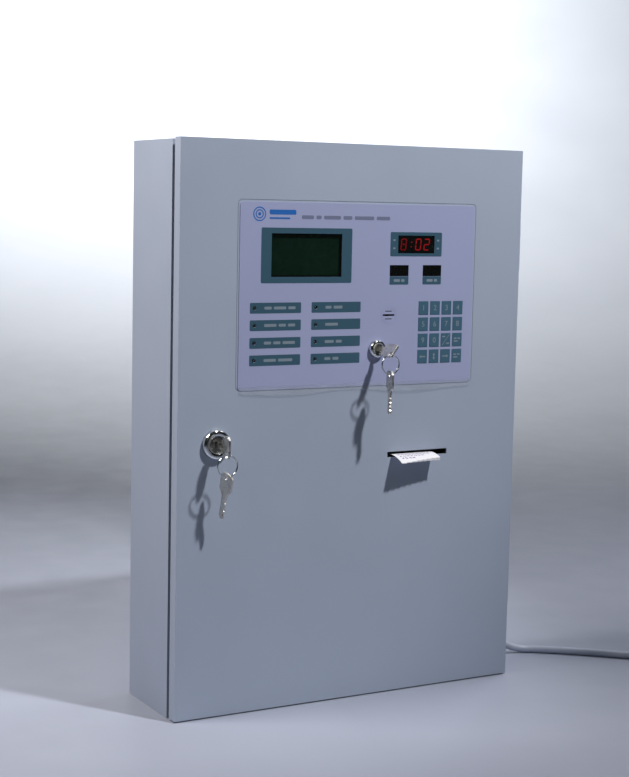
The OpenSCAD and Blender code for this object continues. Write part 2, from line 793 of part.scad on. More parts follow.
module display_board() {
    low = display_board_box[0];
    high = display_board_box[1];
    color("seagreen") difference() {
        union() {
            block([low[0], board_y, low[1]], [high[0], board_y + pcb_t, high[1]]);
            for (i = [0 : key_count * key_count - 1]) key_place(i) {
                panel_box(0, 0, 6, 6, board_y - 4.5, board_y + sink);
                rod_y(1.75, 0, 0, plunger_y, board_y);
            }
            panel_box(-60, 330, 24, 24, board_y + pcb_t - sink, board_y + pcb_t + 3);
            panel_box(-95, 318, 10, 18, board_y + pcb_t - sink, board_y + pcb_t + 3.5);
            panel_box(70, 430, 50, 8, board_y + pcb_t - sink, board_y + pcb_t + 9);
            // Sounder behind the film's slots
            rod_y(buzzer_r, buzzer_at[0], buzzer_at[1], skin_y + 0.2, board_y + sink);
        }
        rod_y(1.5, buzzer_at[0], buzzer_at[1], skin_y - over, skin_y + 4);
        for (p = display_studs) rod_y(1.6, p[0], p[1], board_y - over, board_y + pcb_t + over);
        rod_y(9.5, switch_x, switch_z, board_y - over, board_y + pcb_t + over);
    }
}

module lock_housing() {
    front = face_y - collar_d;
    color("silver") difference() {
        union() {
            rod_y(lock_d / 2, lock_x, lock_z, front + 2, face_y);
            translate([lock_x, front + 2, lock_z]) rotate([90, 0, 0])
                cylinder(r1 = lock_d / 2, r2 = lock_d / 2 - 2, h = 2);
            rod_y(barrel_lock_r, lock_x, lock_z, face_y - sink, lock_rear_y);
        }
        rod_y(disc_r + fit, lock_x, lock_z, front - over, disc_y + disc_t + 0.2);
        rod_y(plug_r + fit, lock_x, lock_z, front - over, lock_rear_y + over);
    }
}

module switch_housing() {
    front = film_y - head_d;
    color("silver") difference() {
        union() {
            rod_y(switch_d / 2, switch_x, switch_z, front + 1.2, film_y);
            translate([switch_x, front + 1.2, switch_z]) rotate([90, 0, 0])
                cylinder(r1 = switch_d / 2, r2 = switch_d / 2 - 1.2, h = 1.2);
            rod_y(switch_barrel_r, switch_x, switch_z, film_y - sink, switch_rear_y);
            panel_box(switch_x, switch_z, 13, 13, switch_rear_y - sink, switch_rear_y + 10);
        }
        rod_y(switch_plug_r + fit, switch_x, switch_z, front - over, switch_rear_y - 2);
    }
}

module door_nuts() {
    color("silver") {
        difference() {
            hex_y(24, lock_x, lock_z, skin_y, skin_y + 4);
            rod_y(barrel_lock_r + 0.05, lock_x, lock_z, skin_y - over, skin_y + 4 + over);
        }
        difference() {
            hex_y(16, switch_x, switch_z, skin_y, skin_y + 3);
            rod_y(switch_barrel_r + 0.05, switch_x, switch_z, skin_y - over, skin_y + 3 + over);
        }
        for (p = display_studs) hex_y(display_nut_flats, p[0], p[1], board_y + pcb_t, board_y + pcb_t + 2.4);
        for (p = printer_studs) difference() {
            hex_y(7, p[0], p[1], skin_y + frame_t, skin_y + frame_t + 2.4);
            rod_y(1.95, p[0], p[1], skin_y, skin_y + frame_t + 2.4 + over);
        }
        for (z = hinge_heights) for (s = [-1, 1])
            rod_x(2, face_y + 5, z + s * 13, half_w + leaf_t, half_w + leaf_t + 0.8);
    }
}

// ---- lock, switch and their keys ----

// Slot for a key's blade, upright at a plug's centre
module keyway(x, z, y0, y1) {
    panel_box(x, z, plate_t + 2 * blade_slack, blade_h + 2 * blade_slack, y0, y1);
}

module lock_plug() {
    color("dimgray") difference() {
        union() {
            rod_y(disc_r, lock_x, lock_z, disc_y, disc_y + disc_t);
            rod_y(plug_r, lock_x, lock_z, disc_y + disc_t - sink, lock_rear_y);
            panel_box(lock_x, lock_z, cam_square, cam_square, lock_rear_y - sink, cam_y + cam_t);
        }
        keyway(lock_x, lock_z, disc_y - over, lock_rear_y - 1.5);
    }
}

module lock_cam() {
    color("silver") difference() {
        union() {
            rod_y(cam_w / 2, lock_x, lock_z, cam_y, cam_y + cam_t);
            panel_box(lock_x, lock_z - (cam_l - 3) / 2, cam_w, cam_l - 3, cam_y, cam_y + cam_t);
            panel_box(lock_x, lock_z - cam_l + 3, cam_w - 5, 6, cam_y, cam_y + cam_t);
        }
        panel_box(lock_x, lock_z, cam_square + 0.1, cam_square + 0.1, cam_y - over, cam_y + cam_t + over);
    }
    color("dimgray") rod_y(5.4, lock_x, lock_z, cam_y + cam_t, cam_y + cam_t + 2.4);
}

// Hanging spare key in its own YZ plane, ring hole at the origin, blade down
module hanging_key(length) {
    neck = 8;
    difference() {
        union() {
            translate([-plate_t / 2, 0, -4.4]) rotate([0, 90, 0]) cylinder(r = 7.8, h = plate_t);
            translate([-plate_t / 2, 0, -9]) rotate([0, 90, 0]) cylinder(r = 7, h = plate_t);
            block([-plate_t / 2, -4.2, -9 - neck], [plate_t / 2, 4.2, -9]);
            block([-plate_t / 2, -blade_h / 2, 5.5 - length], [plate_t / 2, blade_h / 2, -9]);
            block([-plate_t / 2, -blade_h / 2 + 1.5, 4 - length], [plate_t / 2, blade_h / 2 - 1.5, -9]);
        }
        translate([-plate_t, 0, 0]) rotate([0, 90, 0]) cylinder(r = ring_hole_r - 0.6, h = 2 * plate_t);
        // Cuts of the bitting
        for (i = [0 : 3])
            translate([-plate_t, -blade_h / 2 - 0.6 + 0.2 * (i % 3), 8 - length + 4 * i])
                rotate([45, 0, 0]) cube([2 * plate_t, 2, 2]);
    }
}

// Key pushed into a plug: blade along +Y from the origin, bow towards -Y
module inserted_key(reach, bow_l, bow_h, bow_start, hole, hole_r) {
    bow_end = -bow_start - bow_l;
    bow_r = 2;
    difference() {
        union() {
            block([-plate_t / 2, -bow_start, -blade_h / 2], [plate_t / 2, reach, blade_h / 2]);
            block([-plate_t / 2, bow_end, -bow_h / 2 + bow_r],
                [plate_t / 2, -bow_start + 1, bow_h / 2 - bow_r]);
            block([-plate_t / 2, bow_end + bow_r, -bow_h / 2], [plate_t / 2, -bow_start - 1, bow_h / 2]);
            for (z = [-1, 1]) translate([-plate_t / 2, bow_end + bow_r, z * (bow_h / 2 - bow_r)])
                rotate([0, 90, 0]) cylinder(r = bow_r, h = plate_t);
        }
        translate([-plate_t, hole[0], hole[1]]) rotate([0, 90, 0]) cylinder(r = hole_r, h = 2 * plate_t);
        for (i = [0 : 3]) translate([-plate_t, reach - 5 - 3.6 * i, -blade_h / 2 - 0.8 + 0.2 * (i % 3)])
            rotate([45, 0, 0]) cube([2 * plate_t, 2, 2]);
    }
}

module lock_key() {
    color("silver") translate([lock_x, disc_y, lock_z])
        inserted_key(17.5, 12.5, 19.2, disc_y - face_y + 15, [lock_ring_y - disc_y, lock_ring_z - lock_z],
            ring_hole_r);
}

module key_ring(r) {
    rotate([90, 0, 0]) rotate_extrude($fn = 72) translate([r, 0]) circle(ring_wire_r, $fn = 24);
}

module lock_ring() {
    color("silver") translate([lock_x, lock_ring_y, lock_ring_z - lock_ring_r]) key_ring(lock_ring_r);
}

module lock_spare_key() {
    color("silver") translate([lock_x, lock_ring_y, lock_ring_z - 2 * lock_ring_r])
        rotate(lock_spare_lean) hanging_key(41);
}

module switch_plug() {
    color("dimgray") translate([switch_x, 0, switch_z]) rotate([0, switch_tilt, 0]) difference() {
        rod_y(switch_plug_r, 0, 0, switch_disc_y, switch_rear_y - 2.2);
        keyway(0, 0, switch_disc_y - over, switch_rear_y - 4);
    }
}

module switch_key() {
    hole = [switch_ring_at[0] - switch_x, switch_ring_at[1] - switch_z];
    down = hole[0] * sin(switch_tilt) + hole[1] * cos(switch_tilt);
    color("silver") translate([switch_x, switch_disc_y, switch_z]) rotate([0, switch_tilt, 0])
        inserted_key(18, 17, 13.4, switch_disc_y - face_y + 15.5, [switch_ring_y - switch_disc_y, down],
            ring_hole_r - 0.35);
}

module switch_ring() {
    color("silver") translate([switch_ring_at[0], switch_ring_y, switch_ring_at[1] - switch_ring_r])
        key_ring(switch_ring_r);
}

module switch_spare_key() {
    color("silver") translate([switch_ring_at[0], switch_ring_y, switch_ring_at[1] - 2 * switch_ring_r])
        rotate(switch_spare_lean) hanging_key(39);
}

// ---- printer on the back of the door ----

module printer_frame() {
    color("silver") {
        difference() {
            union() {
                for (x = [frame_l, frame_r - frame_t])
                    block([x, skin_y, frame_z[0]], [x + frame_t, frame_back_y, frame_z[1]]);
                block([frame_l - frame_foot, skin_y, frame_z[0]],
                    [frame_l + frame_t, skin_y + frame_t, frame_foot_top]);
                block([frame_r - frame_t, skin_y, frame_z[0]],
                    [frame_r + frame_foot, skin_y + frame_t, frame_foot_top]);
                block([frame_l, frame_back_y - 9.5, frame_z[1] - 4],
                    [frame_r, frame_back_y, frame_z[1] - 4 + frame_t]);
            }
            for (p = printer_studs) rod_y(1.95, p[0], p[1], skin_y - over, skin_y + frame_t + over);
        }
        // Spindle of the paper roll, with a collar each side of it
        rod_x(core_r, roll_y, roll_z, frame_l + frame_t - sink, frame_r - frame_t + sink);
        rod_x(spindle_collar_r, roll_y, roll_z, frame_l + frame_t - sink, paper_x - roll_w / 2 - 1);
        rod_x(spindle_collar_r, roll_y, roll_z, paper_x + roll_w / 2 + 1, frame_r - frame_t + sink);
    }
}

module print_mechanism() {
    color("dimgray") difference() {
        union() {
            block([frame_l + frame_t, bed_y[0], bed_z[0]], [frame_r - frame_t, bed_y[1], bed_z[1]]);
            for (x = [frame_l + frame_t, frame_r - frame_t - cheek_t])
                block([x, bed_y[0] + 1, bed_z[1] - 0.5], [x + cheek_t, -36, head_z[1]]);
            block([frame_l + frame_t, bed_y[0] + 2, head_z[0]], [frame_r - frame_t, -38, head_z[1]]);
        }
        rod_x(feed_axle_r + fit, feed_y, feed_z, frame_l, frame_r);
    }
}

module feed_roller() {
    color("black") rod_x(feed_d / 2, feed_y, feed_z, frame_l + 5.5, frame_r - 5.5);
    color("silver") rod_x(feed_axle_r, feed_y, feed_z, frame_l + 2.2, frame_r - 2.2);
}

module paper_roll() {
    color("white") difference() {
        rod_x(roll_d / 2, roll_y, roll_z, paper_x - roll_w / 2, paper_x + roll_w / 2);
        rod_x(core_r + fit, roll_y, roll_z, paper_x - roll_w / 2 - over, paper_x + roll_w / 2 + over);
    }
}

// Centreline of the paper, as [depth, height]: up from the roll, over a bend, out of the slot and down
function bend_point(a) = [paper_rise_y - bend_r + bend_r * cos(a), slot_z - bend_r + bend_r * sin(a)];
function droop_point(i) = i == 0 ? [paper_lip_y, slot_z] :
    let (a = droop_angle * i / droop_steps, step = droop_l / droop_steps)
    droop_point(i - 1) + step * [-cos(a), -sin(a)];
paper_line = concat([[paper_rise_y, roll_z + 4]],
    [for (i = [0 : bend_steps]) bend_point(90 * i / bend_steps)],
    [for (i = [0 : droop_steps]) droop_point(i)]);
function line_normal(p, i) = let (d = unit(p[min(i + 1, len(p) - 1)] - p[max(i - 1, 0)])) [-d[1], d[0]];

module paper_strip() {
    last = len(paper_line) - 1;
    near = [for (i = [0 : last]) paper_line[i] + paper_t / 2 * line_normal(paper_line, i)];
    far = [for (i = [last : -1 : 0]) paper_line[i] - paper_t / 2 * line_normal(paper_line, i)];
    left = paper_x - paper_w / 2;
    tip_y = paper_line[last][0];
    color("white") difference() {
        translate([left, 0, 0]) rotate([90, 0, 90]) linear_extrude(paper_w) polygon(concat(near, far));
        // The torn edge runs slantwise
        translate([0, 0, slot_z - 20]) linear_extrude(30)
            polygon([[left - over, tip_y - over], [left + paper_w + over, tip_y - over],
                [left + paper_w + over, tip_y + torn_slant]]);
    }
}

module door_loom() {
    color("dimgray") for (z = [-1, 1]) translate([0, 0, z * (loom_r + 0.5)]) sweep(loom_route, loom_r, 8);
}

module key_01() { membrane_key(0); }
module key_02() { membrane_key(1); }
module key_03() { membrane_key(2); }
module key_04() { membrane_key(3); }
module key_05() { membrane_key(4); }
module key_06() { membrane_key(5); }
module key_07() { membrane_key(6); }
module key_08() { membrane_key(7); }
module key_09() { membrane_key(8); }
module key_10() { membrane_key(9); }
module key_11() { membrane_key(10); }
module key_12() { membrane_key(11); }
module key_13() { membrane_key(12); }
module key_14() { membrane_key(13); }
module key_15() { membrane_key(14); }
module key_16() { membrane_key(15); }

cabinet_shell();
cabinet_hinge_leaves();
hinge_pins();
main_board();
terminal_blocks();
power_supply();
batteries();
battery_bracket();
switch_bracket();
cabinet_screws();
gland_plate();
cable_gland();
mains_cord();
cord_coil();
mains_plug();
door_panel();
door_gasket();
door_hinge_leaves();
front_film();
display_windows();
lcd_module();
segment_displays();
status_leds();
display_board();
lock_housing();
switch_housing();
door_nuts();
printer_frame();
print_mechanism();
paper_strip();
door_loom();
lock_plug();
lock_cam();
lock_key();
lock_ring();
lock_spare_key();
switch_plug();
switch_key();
switch_ring();
switch_spare_key();
paper_roll();
feed_roller();
mains_rocker();
battery_rocker();
key_01();
key_02();
key_03();
key_04();
key_05();
key_06();
key_07();
key_08();
key_09();
key_10();
key_11();
key_12();
key_13();
key_14();
key_15();
key_16();
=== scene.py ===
"""Fire alarm control panel: looks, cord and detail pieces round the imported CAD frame."""

import math
import random

import bmesh
import bpy
from mathutils import Matrix, Vector


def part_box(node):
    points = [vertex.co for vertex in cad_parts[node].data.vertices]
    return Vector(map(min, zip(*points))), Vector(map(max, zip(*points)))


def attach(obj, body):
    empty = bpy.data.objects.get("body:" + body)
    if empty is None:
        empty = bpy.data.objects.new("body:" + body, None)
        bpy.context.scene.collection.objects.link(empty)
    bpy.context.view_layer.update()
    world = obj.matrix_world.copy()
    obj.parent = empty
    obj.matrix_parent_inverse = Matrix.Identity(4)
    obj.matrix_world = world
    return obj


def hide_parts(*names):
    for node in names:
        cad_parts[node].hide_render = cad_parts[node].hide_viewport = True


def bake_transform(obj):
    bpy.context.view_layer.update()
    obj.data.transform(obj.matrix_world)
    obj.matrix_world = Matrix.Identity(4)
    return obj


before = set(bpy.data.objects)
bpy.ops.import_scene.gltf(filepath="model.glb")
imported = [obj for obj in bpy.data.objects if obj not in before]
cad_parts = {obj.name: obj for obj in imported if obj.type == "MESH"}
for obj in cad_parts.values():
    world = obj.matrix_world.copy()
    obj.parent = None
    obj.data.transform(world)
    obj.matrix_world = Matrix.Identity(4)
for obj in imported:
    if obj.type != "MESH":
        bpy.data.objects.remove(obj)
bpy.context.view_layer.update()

MM = 0.001


def at(x, y, z):
    """A place given in millimetres, in metres."""
    return Vector((x * MM, y * MM, z * MM))


def node_box(node):
    """Lowest and highest corner of a CAD node in millimetres."""
    low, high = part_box(node)
    return low / MM, high / MM


# ---- camera

CAMERA_AT = at(-740.9, -1290.0, 444.4)
CAMERA_AZIMUTH = -29.51
CAMERA_ELEVATION = 6.4
CAMERA_ROLL = 1.2
CAMERA_LENS = 74.99


def make_camera():
    azimuth, elevation = math.radians(CAMERA_AZIMUTH), math.radians(CAMERA_ELEVATION)
    back = Vector((
        math.sin(azimuth) * math.cos(elevation),
        -math.cos(azimuth) * math.cos(elevation),
        math.sin(elevation),
    ))
    right = Vector((math.cos(azimuth), math.sin(azimuth), 0))
    up = back.cross(right)
    level = Matrix((right, up, back)).transposed()
    camera = bpy.data.objects.new("camera", bpy.data.cameras.new("camera"))
    camera.data.lens = CAMERA_LENS
    camera.matrix_world = Matrix.Translation(CAMERA_AT) @ (
        level @ Matrix.Rotation(math.radians(CAMERA_ROLL), 3, "Z")
    ).to_4x4()
    bpy.context.scene.collection.objects.link(camera)
    bpy.context.scene.camera = camera


make_camera()


# ---- materials


class Nodes:
    """A material's node tree with short calls to add and link nodes."""

    def __init__(self, name):
        self.material = bpy.data.materials.new(name)
        self.material.use_nodes = True
        self.tree = self.material.node_tree
        self.shader = self.tree.nodes["Principled BSDF"]
        self.place = self.tree.nodes.new("ShaderNodeTexCoord").outputs["Object"]

    def add(self, kind, values=(), **settings):
        node = self.tree.nodes.new("ShaderNode" + kind)
        for key, value in settings.items():
            setattr(node, key, value)
        for key, value in dict(values).items():
            if isinstance(value, bpy.types.NodeSocket):
                self.tree.links.new(value, node.inputs[key])
            else:
                node.inputs[key].default_value = value
        return node

    def noise(self, scale, detail=2.0, stretch=None, rough=0.5):
        """Noise whose scale is in features per metre; stretch squeezes it along the axes."""
        place = self.place
        if stretch:
            place = self.add("Mapping", {"Vector": place, "Scale": stretch}).outputs["Vector"]
        values = {"Vector": place, "Scale": scale, "Detail": detail, "Roughness": rough}
        return self.add("TexNoise", values).outputs["Fac"]

    def spread(self, value, low, high, start=0.35, end=0.65):
        """value, from start to end, mapped to low to high."""
        values = {"Value": value, "From Min": start, "From Max": end, "To Min": low, "To Max": high}
        return self.add("MapRange", values).outputs["Result"]

    def blend(self, share, first, second):
        """Colour from first to second; either may be a socket or three numbers."""
        node = self.add("Mix", data_type="RGBA")
        for socket, value in ((node.inputs[0], share), (node.inputs[6], first), (node.inputs[7], second)):
            if isinstance(value, bpy.types.NodeSocket):
                self.tree.links.new(value, socket)
            elif isinstance(value, (int, float)):
                socket.default_value = value
            else:
                socket.default_value = (*value, 1)
        return node.outputs[2]

    def bricks(self, scale, mortar, width, row, **settings):
        """The joints of a brick pattern laid out over surfaces that look along Y."""
        upright = self.add("Mapping", {"Vector": self.place, "Rotation": (math.radians(90), 0, 0)})
        values = {"Vector": upright.outputs["Vector"], "Scale": scale, "Mortar Size": mortar,
                  "Brick Width": width, "Row Height": row}
        return self.add("TexBrick", values, **settings).outputs["Fac"]

    def set(self, **values):
        """Sets or links the shader's sockets, named with _ for a space."""
        for key, value in values.items():
            socket = self.shader.inputs[key.replace("_", " ")]
            if isinstance(value, bpy.types.NodeSocket):
                self.tree.links.new(value, socket)
            elif socket.type == "RGBA":
                socket.default_value = (*value, 1)
            else:
                socket.default_value = value

    def bump(self, height, strength, depth_mm, under=None):
        values = {"Height": height, "Strength": strength, "Distance": depth_mm * MM}
        if under:
            values["Normal"] = under
        return self.add("Bump", values).outputs["Normal"]


def shade(colour, factor):
    """The colour made darker or lighter."""
    return tuple(min(1.0, c * factor) for c in colour)


def plain_surface(name, colour, rough, grain=600, depth_mm=0.03, vary=0.06, metal=0.0, patches=25, **values):
    """A moulded, printed or plated surface: mottled colour, uneven gloss and a fine grain."""
    n = Nodes(name)
    mottle = n.spread(n.noise(patches, 3), 0, 1)
    n.set(
        Base_Color=n.blend(mottle, shade(colour, 1 - vary), shade(colour, 1 + vary)),
        Roughness=n.spread(n.noise(patches * 3, 4), rough * 0.82, min(1.0, rough * 1.2)),
        Metallic=metal,
        Normal=n.bump(n.noise(grain, 3), 0.35, depth_mm),
        **values,
    )
    return n.material


def powder_coat(name, colour):
    """Semi-gloss powder coat: orange peel, faint clouding, and dust where a face looks up."""
    n = Nodes(name)
    cloud = n.spread(n.noise(5, 3), 0, 1)
    fleck = n.spread(n.noise(2600, 1), 0, 1, 0.6, 0.72)
    paint = n.blend(cloud, shade(colour, 0.97), shade(colour, 1.03))
    paint = n.blend(n.add("Math", {0: fleck, 1: 0.25}, operation="MULTIPLY").outputs[0],
                    paint, shade(colour, 0.82))
    up = n.add("SeparateXYZ", {"Vector": n.add("NewGeometry").outputs["Normal"]}).outputs["Z"]
    dust = n.add("Math", {0: n.spread(up, 0, 0.5, 0.6, 1.0), 1: n.noise(60, 4)}, operation="MULTIPLY")
    peel = n.bump(n.noise(900, 2), 0.22, 0.12)
    n.set(
        Base_Color=n.blend(dust.outputs[0], paint, (0.62, 0.62, 0.6)),
        Roughness=n.spread(n.noise(22, 4), 0.4, 0.54),
        Normal=n.bump(n.noise(5200, 1), 0.15, 0.04, peel),
        Coat_Weight=0.15,
        Coat_Roughness=0.3,
    )
    return n.material


def plated_metal(name, colour, rough, brushed=None, tarnish=(0.5, 0.46, 0.4)):
    """Plated or polished metal with fine scratches, smears and a little tarnish."""
    n = Nodes(name)
    scratches = n.noise(1400, 2, brushed or (1, 1, 0.08))
    stain = n.spread(n.noise(140, 5), 0, 0.45, 0.52, 0.75)
    n.set(
        Base_Color=n.blend(stain, colour, tuple(a * b for a, b in zip(colour, tarnish))),
        Metallic=1.0,
        Roughness=n.spread(n.noise(260, 4), rough * 0.7, rough * 1.6),
        Normal=n.bump(scratches, 0.25, 0.02),
    )
    return n.material


def film_print(name, colour, rough=0.3):
    """Printed polyester film: even ink under a satin face with a very slight waviness."""
    n = Nodes(name)
    n.set(
        Base_Color=n.blend(n.spread(n.noise(7, 1), 0, 1), shade(colour, 0.985), shade(colour, 1.015)),
        Roughness=n.spread(n.noise(30, 2), rough * 0.93, rough * 1.07),
        Normal=n.bump(n.noise(16, 1), 0.05, 0.2, n.bump(n.noise(4200, 1), 0.15, 0.01)),
        Coat_Weight=0.25,
        Coat_Roughness=0.12,
    )
    return n.material


def circuit_board(name):
    """Green solder mask with copper tracks that show through and pale printed outlines."""
    n = Nodes(name)
    tracks = n.bricks(320.0, 0.045, 1.6, 0.42)
    pads = n.spread(n.add("TexVoronoi", {"Vector": n.place, "Scale": 190.0}).outputs["Distance"],
                    1, 0, 0.1, 0.14)
    mask = n.blend(n.spread(n.noise(30, 2), 0, 1), (0.012, 0.13, 0.055), (0.02, 0.18, 0.075))
    copper = n.blend(tracks, mask, (0.03, 0.26, 0.11))
    n.set(
        Base_Color=n.blend(pads, copper, (0.55, 0.52, 0.42)),
        Roughness=n.spread(n.noise(80, 3), 0.28, 0.42),
        Normal=n.bump(tracks, 0.3, 0.03),
    )
    return n.material


def dot_matrix(name):
    """Unlit graphic display: dark green glass with its grid of dots just visible."""
    n = Nodes(name)
    grid = n.bricks(1900.0, 0.09, 1.0, 1.0, offset=0.0)
    cloud = n.spread(n.noise(24, 4), 0, 1, 0.3, 0.7)
    glass = n.blend(cloud, (0.028, 0.126, 0.074), (0.046, 0.19, 0.112))
    faint = n.add("Math", {0: grid, 1: 0.35}, operation="MULTIPLY").outputs[0]
    n.set(Base_Color=n.blend(faint, glass, (0.035, 0.09, 0.06)), Roughness=n.spread(n.noise(90, 4), 0.2, 0.34))
    return n.material


def paper_surface(name, colour):
    """Uncoated paper with its fibres and a slight cockle."""
    n = Nodes(name)
    fibre = n.noise(1800, 4, (1, 1, 3))
    n.set(
        Base_Color=n.blend(n.spread(fibre, 0, 1), shade(colour, 0.96), colour),
        Roughness=n.spread(n.noise(300, 2), 0.6, 0.8),
        Normal=n.bump(fibre, 0.3, 0.03, n.bump(n.noise(60, 2), 0.3, 0.4)),
    )
    return n.material


def foam_surface(name, colour):
    """Soft open-celled foam."""
    n = Nodes(name)
    cells = n.add("TexVoronoi", {"Vector": n.place, "Scale": 1500.0}).outputs["Distance"]
    n.set(
        Base_Color=n.blend(n.spread(cells, 0, 1, 0.1, 0.6), shade(colour, 0.5), shade(colour, 1.4)),
        Roughness=n.spread(n.noise(90, 3), 0.8, 0.95),
        Normal=n.bump(cells, 0.8, 0.2),
    )
    return n.material


def glass_window(name, colour, alpha):
    """Thin clear or smoked plastic, a little smeared."""
    n = Nodes(name)
    n.set(
        Base_Color=n.blend(n.spread(n.noise(40, 3), 0, 1), colour, shade(colour, 1.3)),
        Roughness=n.spread(n.noise(60, 4), 0.05, 0.12),
        Alpha=alpha,
    )
    return n.material


def lit_segment(name, colour, strength):
    """A display segment that glows a little unevenly."""
    n = Nodes(name)
    glow = n.blend(n.spread(n.noise(900, 2), 0, 1), shade(colour, 0.8), colour)
    n.set(Base_Color=(0.2, 0.01, 0.01), Roughness=0.4, Emission_Color=glow, Emission_Strength=strength)
    return n.material


PAINT = (0.41, 0.47, 0.585)
TEAL = (0.052, 0.118, 0.172)

M = {
    "paint": powder_coat("powder_coat", PAINT),
    "film": film_print("film_lavender", (0.4, 0.435, 0.655)),
    "teal": film_print("film_teal", TEAL),
    "key": film_print("key_teal", shade(TEAL, 1.25)),
    "legend": film_print("legend_pale", (0.25, 0.31, 0.37)),
    "title": film_print("title_grey", (0.2, 0.22, 0.34)),
    "blue": film_print("emblem_blue", (0.03, 0.16, 0.52)),
    "window": glass_window("window_smoked", (0.004, 0.006, 0.005), 0.45),
    "clear": glass_window("protective_sheet", (0.5, 0.54, 0.6), 0.12),
    # Dark ring along the clear sheet's edge: painted shade, not a colour the clear sheet has.
    "sheet_edge": film_print("sheet_edge", (0.17, 0.2, 0.25)),
    "lcd": dot_matrix("lcd_glass"),
    "segment_on": lit_segment("segment_red", (1.0, 0.02, 0.03), 0.55),
    "segment_off": plain_surface("segment_dark", (0.018, 0.006, 0.007), 0.4),
    "lens": plain_surface("lamp_lens", (0.008, 0.02, 0.014), 0.18, depth_mm=0.01),
    "chrome": plated_metal("chrome", (0.78, 0.8, 0.82), 0.09),
    "nickel": plated_metal("key_nickel", (0.74, 0.72, 0.68), 0.3, (0.12, 1, 1)),
    "plug_metal": plated_metal("lock_disc", (0.26, 0.26, 0.25), 0.3),
    "zinc": plated_metal("zinc_plated", (0.56, 0.56, 0.55), 0.34, (1, 1, 0.2), (0.75, 0.72, 0.6)),
    "brass": plated_metal("brass", (0.72, 0.52, 0.22), 0.25),
    "tin": plated_metal("tinned_pin", (0.66, 0.66, 0.64), 0.3),
    "board": circuit_board("solder_mask"),
    "black": plain_surface("black_moulding", (0.022, 0.022, 0.025), 0.42),
    "grey_moulding": plain_surface("grey_moulding", (0.12, 0.12, 0.13), 0.5, 900, 0.05),
    "case": plain_surface("battery_case", (0.055, 0.057, 0.065), 0.46, 800, 0.06),
    "terminal": plain_surface("terminal_green", (0.05, 0.28, 0.1), 0.42),
    "ivory": plain_surface("ivory_moulding", (0.62, 0.58, 0.47), 0.45),
    "relay": plain_surface("relay_blue", (0.03, 0.1, 0.3), 0.38),
    "sleeve": plain_surface("capacitor_sleeve", (0.015, 0.03, 0.1), 0.3),
    "rubber": plain_surface("roller_rubber", (0.02, 0.02, 0.02), 0.75, 1600, 0.08),
    "foam": foam_surface("gasket_foam", (0.02, 0.02, 0.021)),
    "cord": plain_surface("cord_white", (0.5, 0.53, 0.64), 0.42, 700, 0.05),
    "plug": plain_surface("plug_white", (0.7, 0.71, 0.74), 0.34, 900, 0.03),
    "red": plain_surface("rocker_red", (0.42, 0.02, 0.02), 0.3),
    "green": plain_surface("rocker_green", (0.02, 0.2, 0.06), 0.3),
    "paper": paper_surface("printer_paper", (0.84, 0.83, 0.88)),
    "ink": paper_surface("printer_ink", (0.28, 0.24, 0.38)),
    "sticker": plain_surface("sticker_pale", (0.5, 0.5, 0.46), 0.35),
    "tie": plain_surface("tie_grey", (0.07, 0.07, 0.08), 0.8, 1500, 0.15),
}


# ---- mesh tools


def add_piece(name, mesh, body, material, smooth=35):
    """Puts a mesh into the scene, riding on a body; material may be one key of M or several."""
    piece = bpy.data.objects.new(name, mesh)
    bpy.context.scene.collection.objects.link(piece)
    for key in ([material] if isinstance(material, str) else material):
        mesh.materials.append(M[key])
    mesh.shade_smooth()
    mesh.set_sharp_from_angle(angle=math.radians(smooth))
    if body:
        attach(piece, body)
    return piece


def mesh_from(name, points, faces, slots=None, weld_mm=0):
    """A mesh of points in millimetres, with its faces turned outward; slots has a material number per face."""
    mesh = bpy.data.meshes.new(name)
    mesh.from_pydata([Vector(p) * MM for p in points], [], faces)
    if slots:
        for face, slot in zip(mesh.polygons, slots):
            face.material_index = slot
    solid = bmesh.new()
    solid.from_mesh(mesh)
    if weld_mm:
        bmesh.ops.remove_doubles(solid, verts=solid.verts, dist=weld_mm * MM)
    bmesh.ops.recalc_face_normals(solid, faces=solid.faces)
    solid.to_mesh(mesh)
    solid.free()
    return mesh


def round_edges(piece, width_mm, segments=2, angle=40):
    """Rounds every edge that bends by more than angle degrees."""
    bevel = piece.modifiers.new("bevel", "BEVEL")
    bevel.width = width_mm * MM
    bevel.segments = segments
    bevel.limit_method = "ANGLE"
    bevel.angle_limit = math.radians(angle)


def add_bevel(piece, width_mm, segments=2, angle=40):
    """Rounded edges and even shading for a piece made here."""
    round_edges(piece, width_mm, segments, angle)
    piece.modifiers.new("even", "WEIGHTED_NORMAL").keep_sharp = True


def arc(cx, cz, r, start, end, steps):
    """Points along an arc, angles in degrees from +X towards +Z."""
    return [
        (cx + r * math.cos(math.radians(start + (end - start) * i / steps)),
         cz + r * math.sin(math.radians(start + (end - start) * i / steps)))
        for i in range(steps + 1)
    ]


def round_rect(cx, cz, w, h, r, steps=5):
    """Points round a rectangle with rounded corners."""
    corners = ((1, 1, 0), (-1, 1, 90), (-1, -1, 180), (1, -1, 270))
    return [
        p for sx, sz, start in corners
        for p in arc(cx + sx * (w / 2 - r), cz + sz * (h / 2 - r), r, start, start + 90, steps)
    ]


def circle(cx, cz, r, steps=32):
    return arc(cx, cz, r, 0, 360, steps)[:-1]


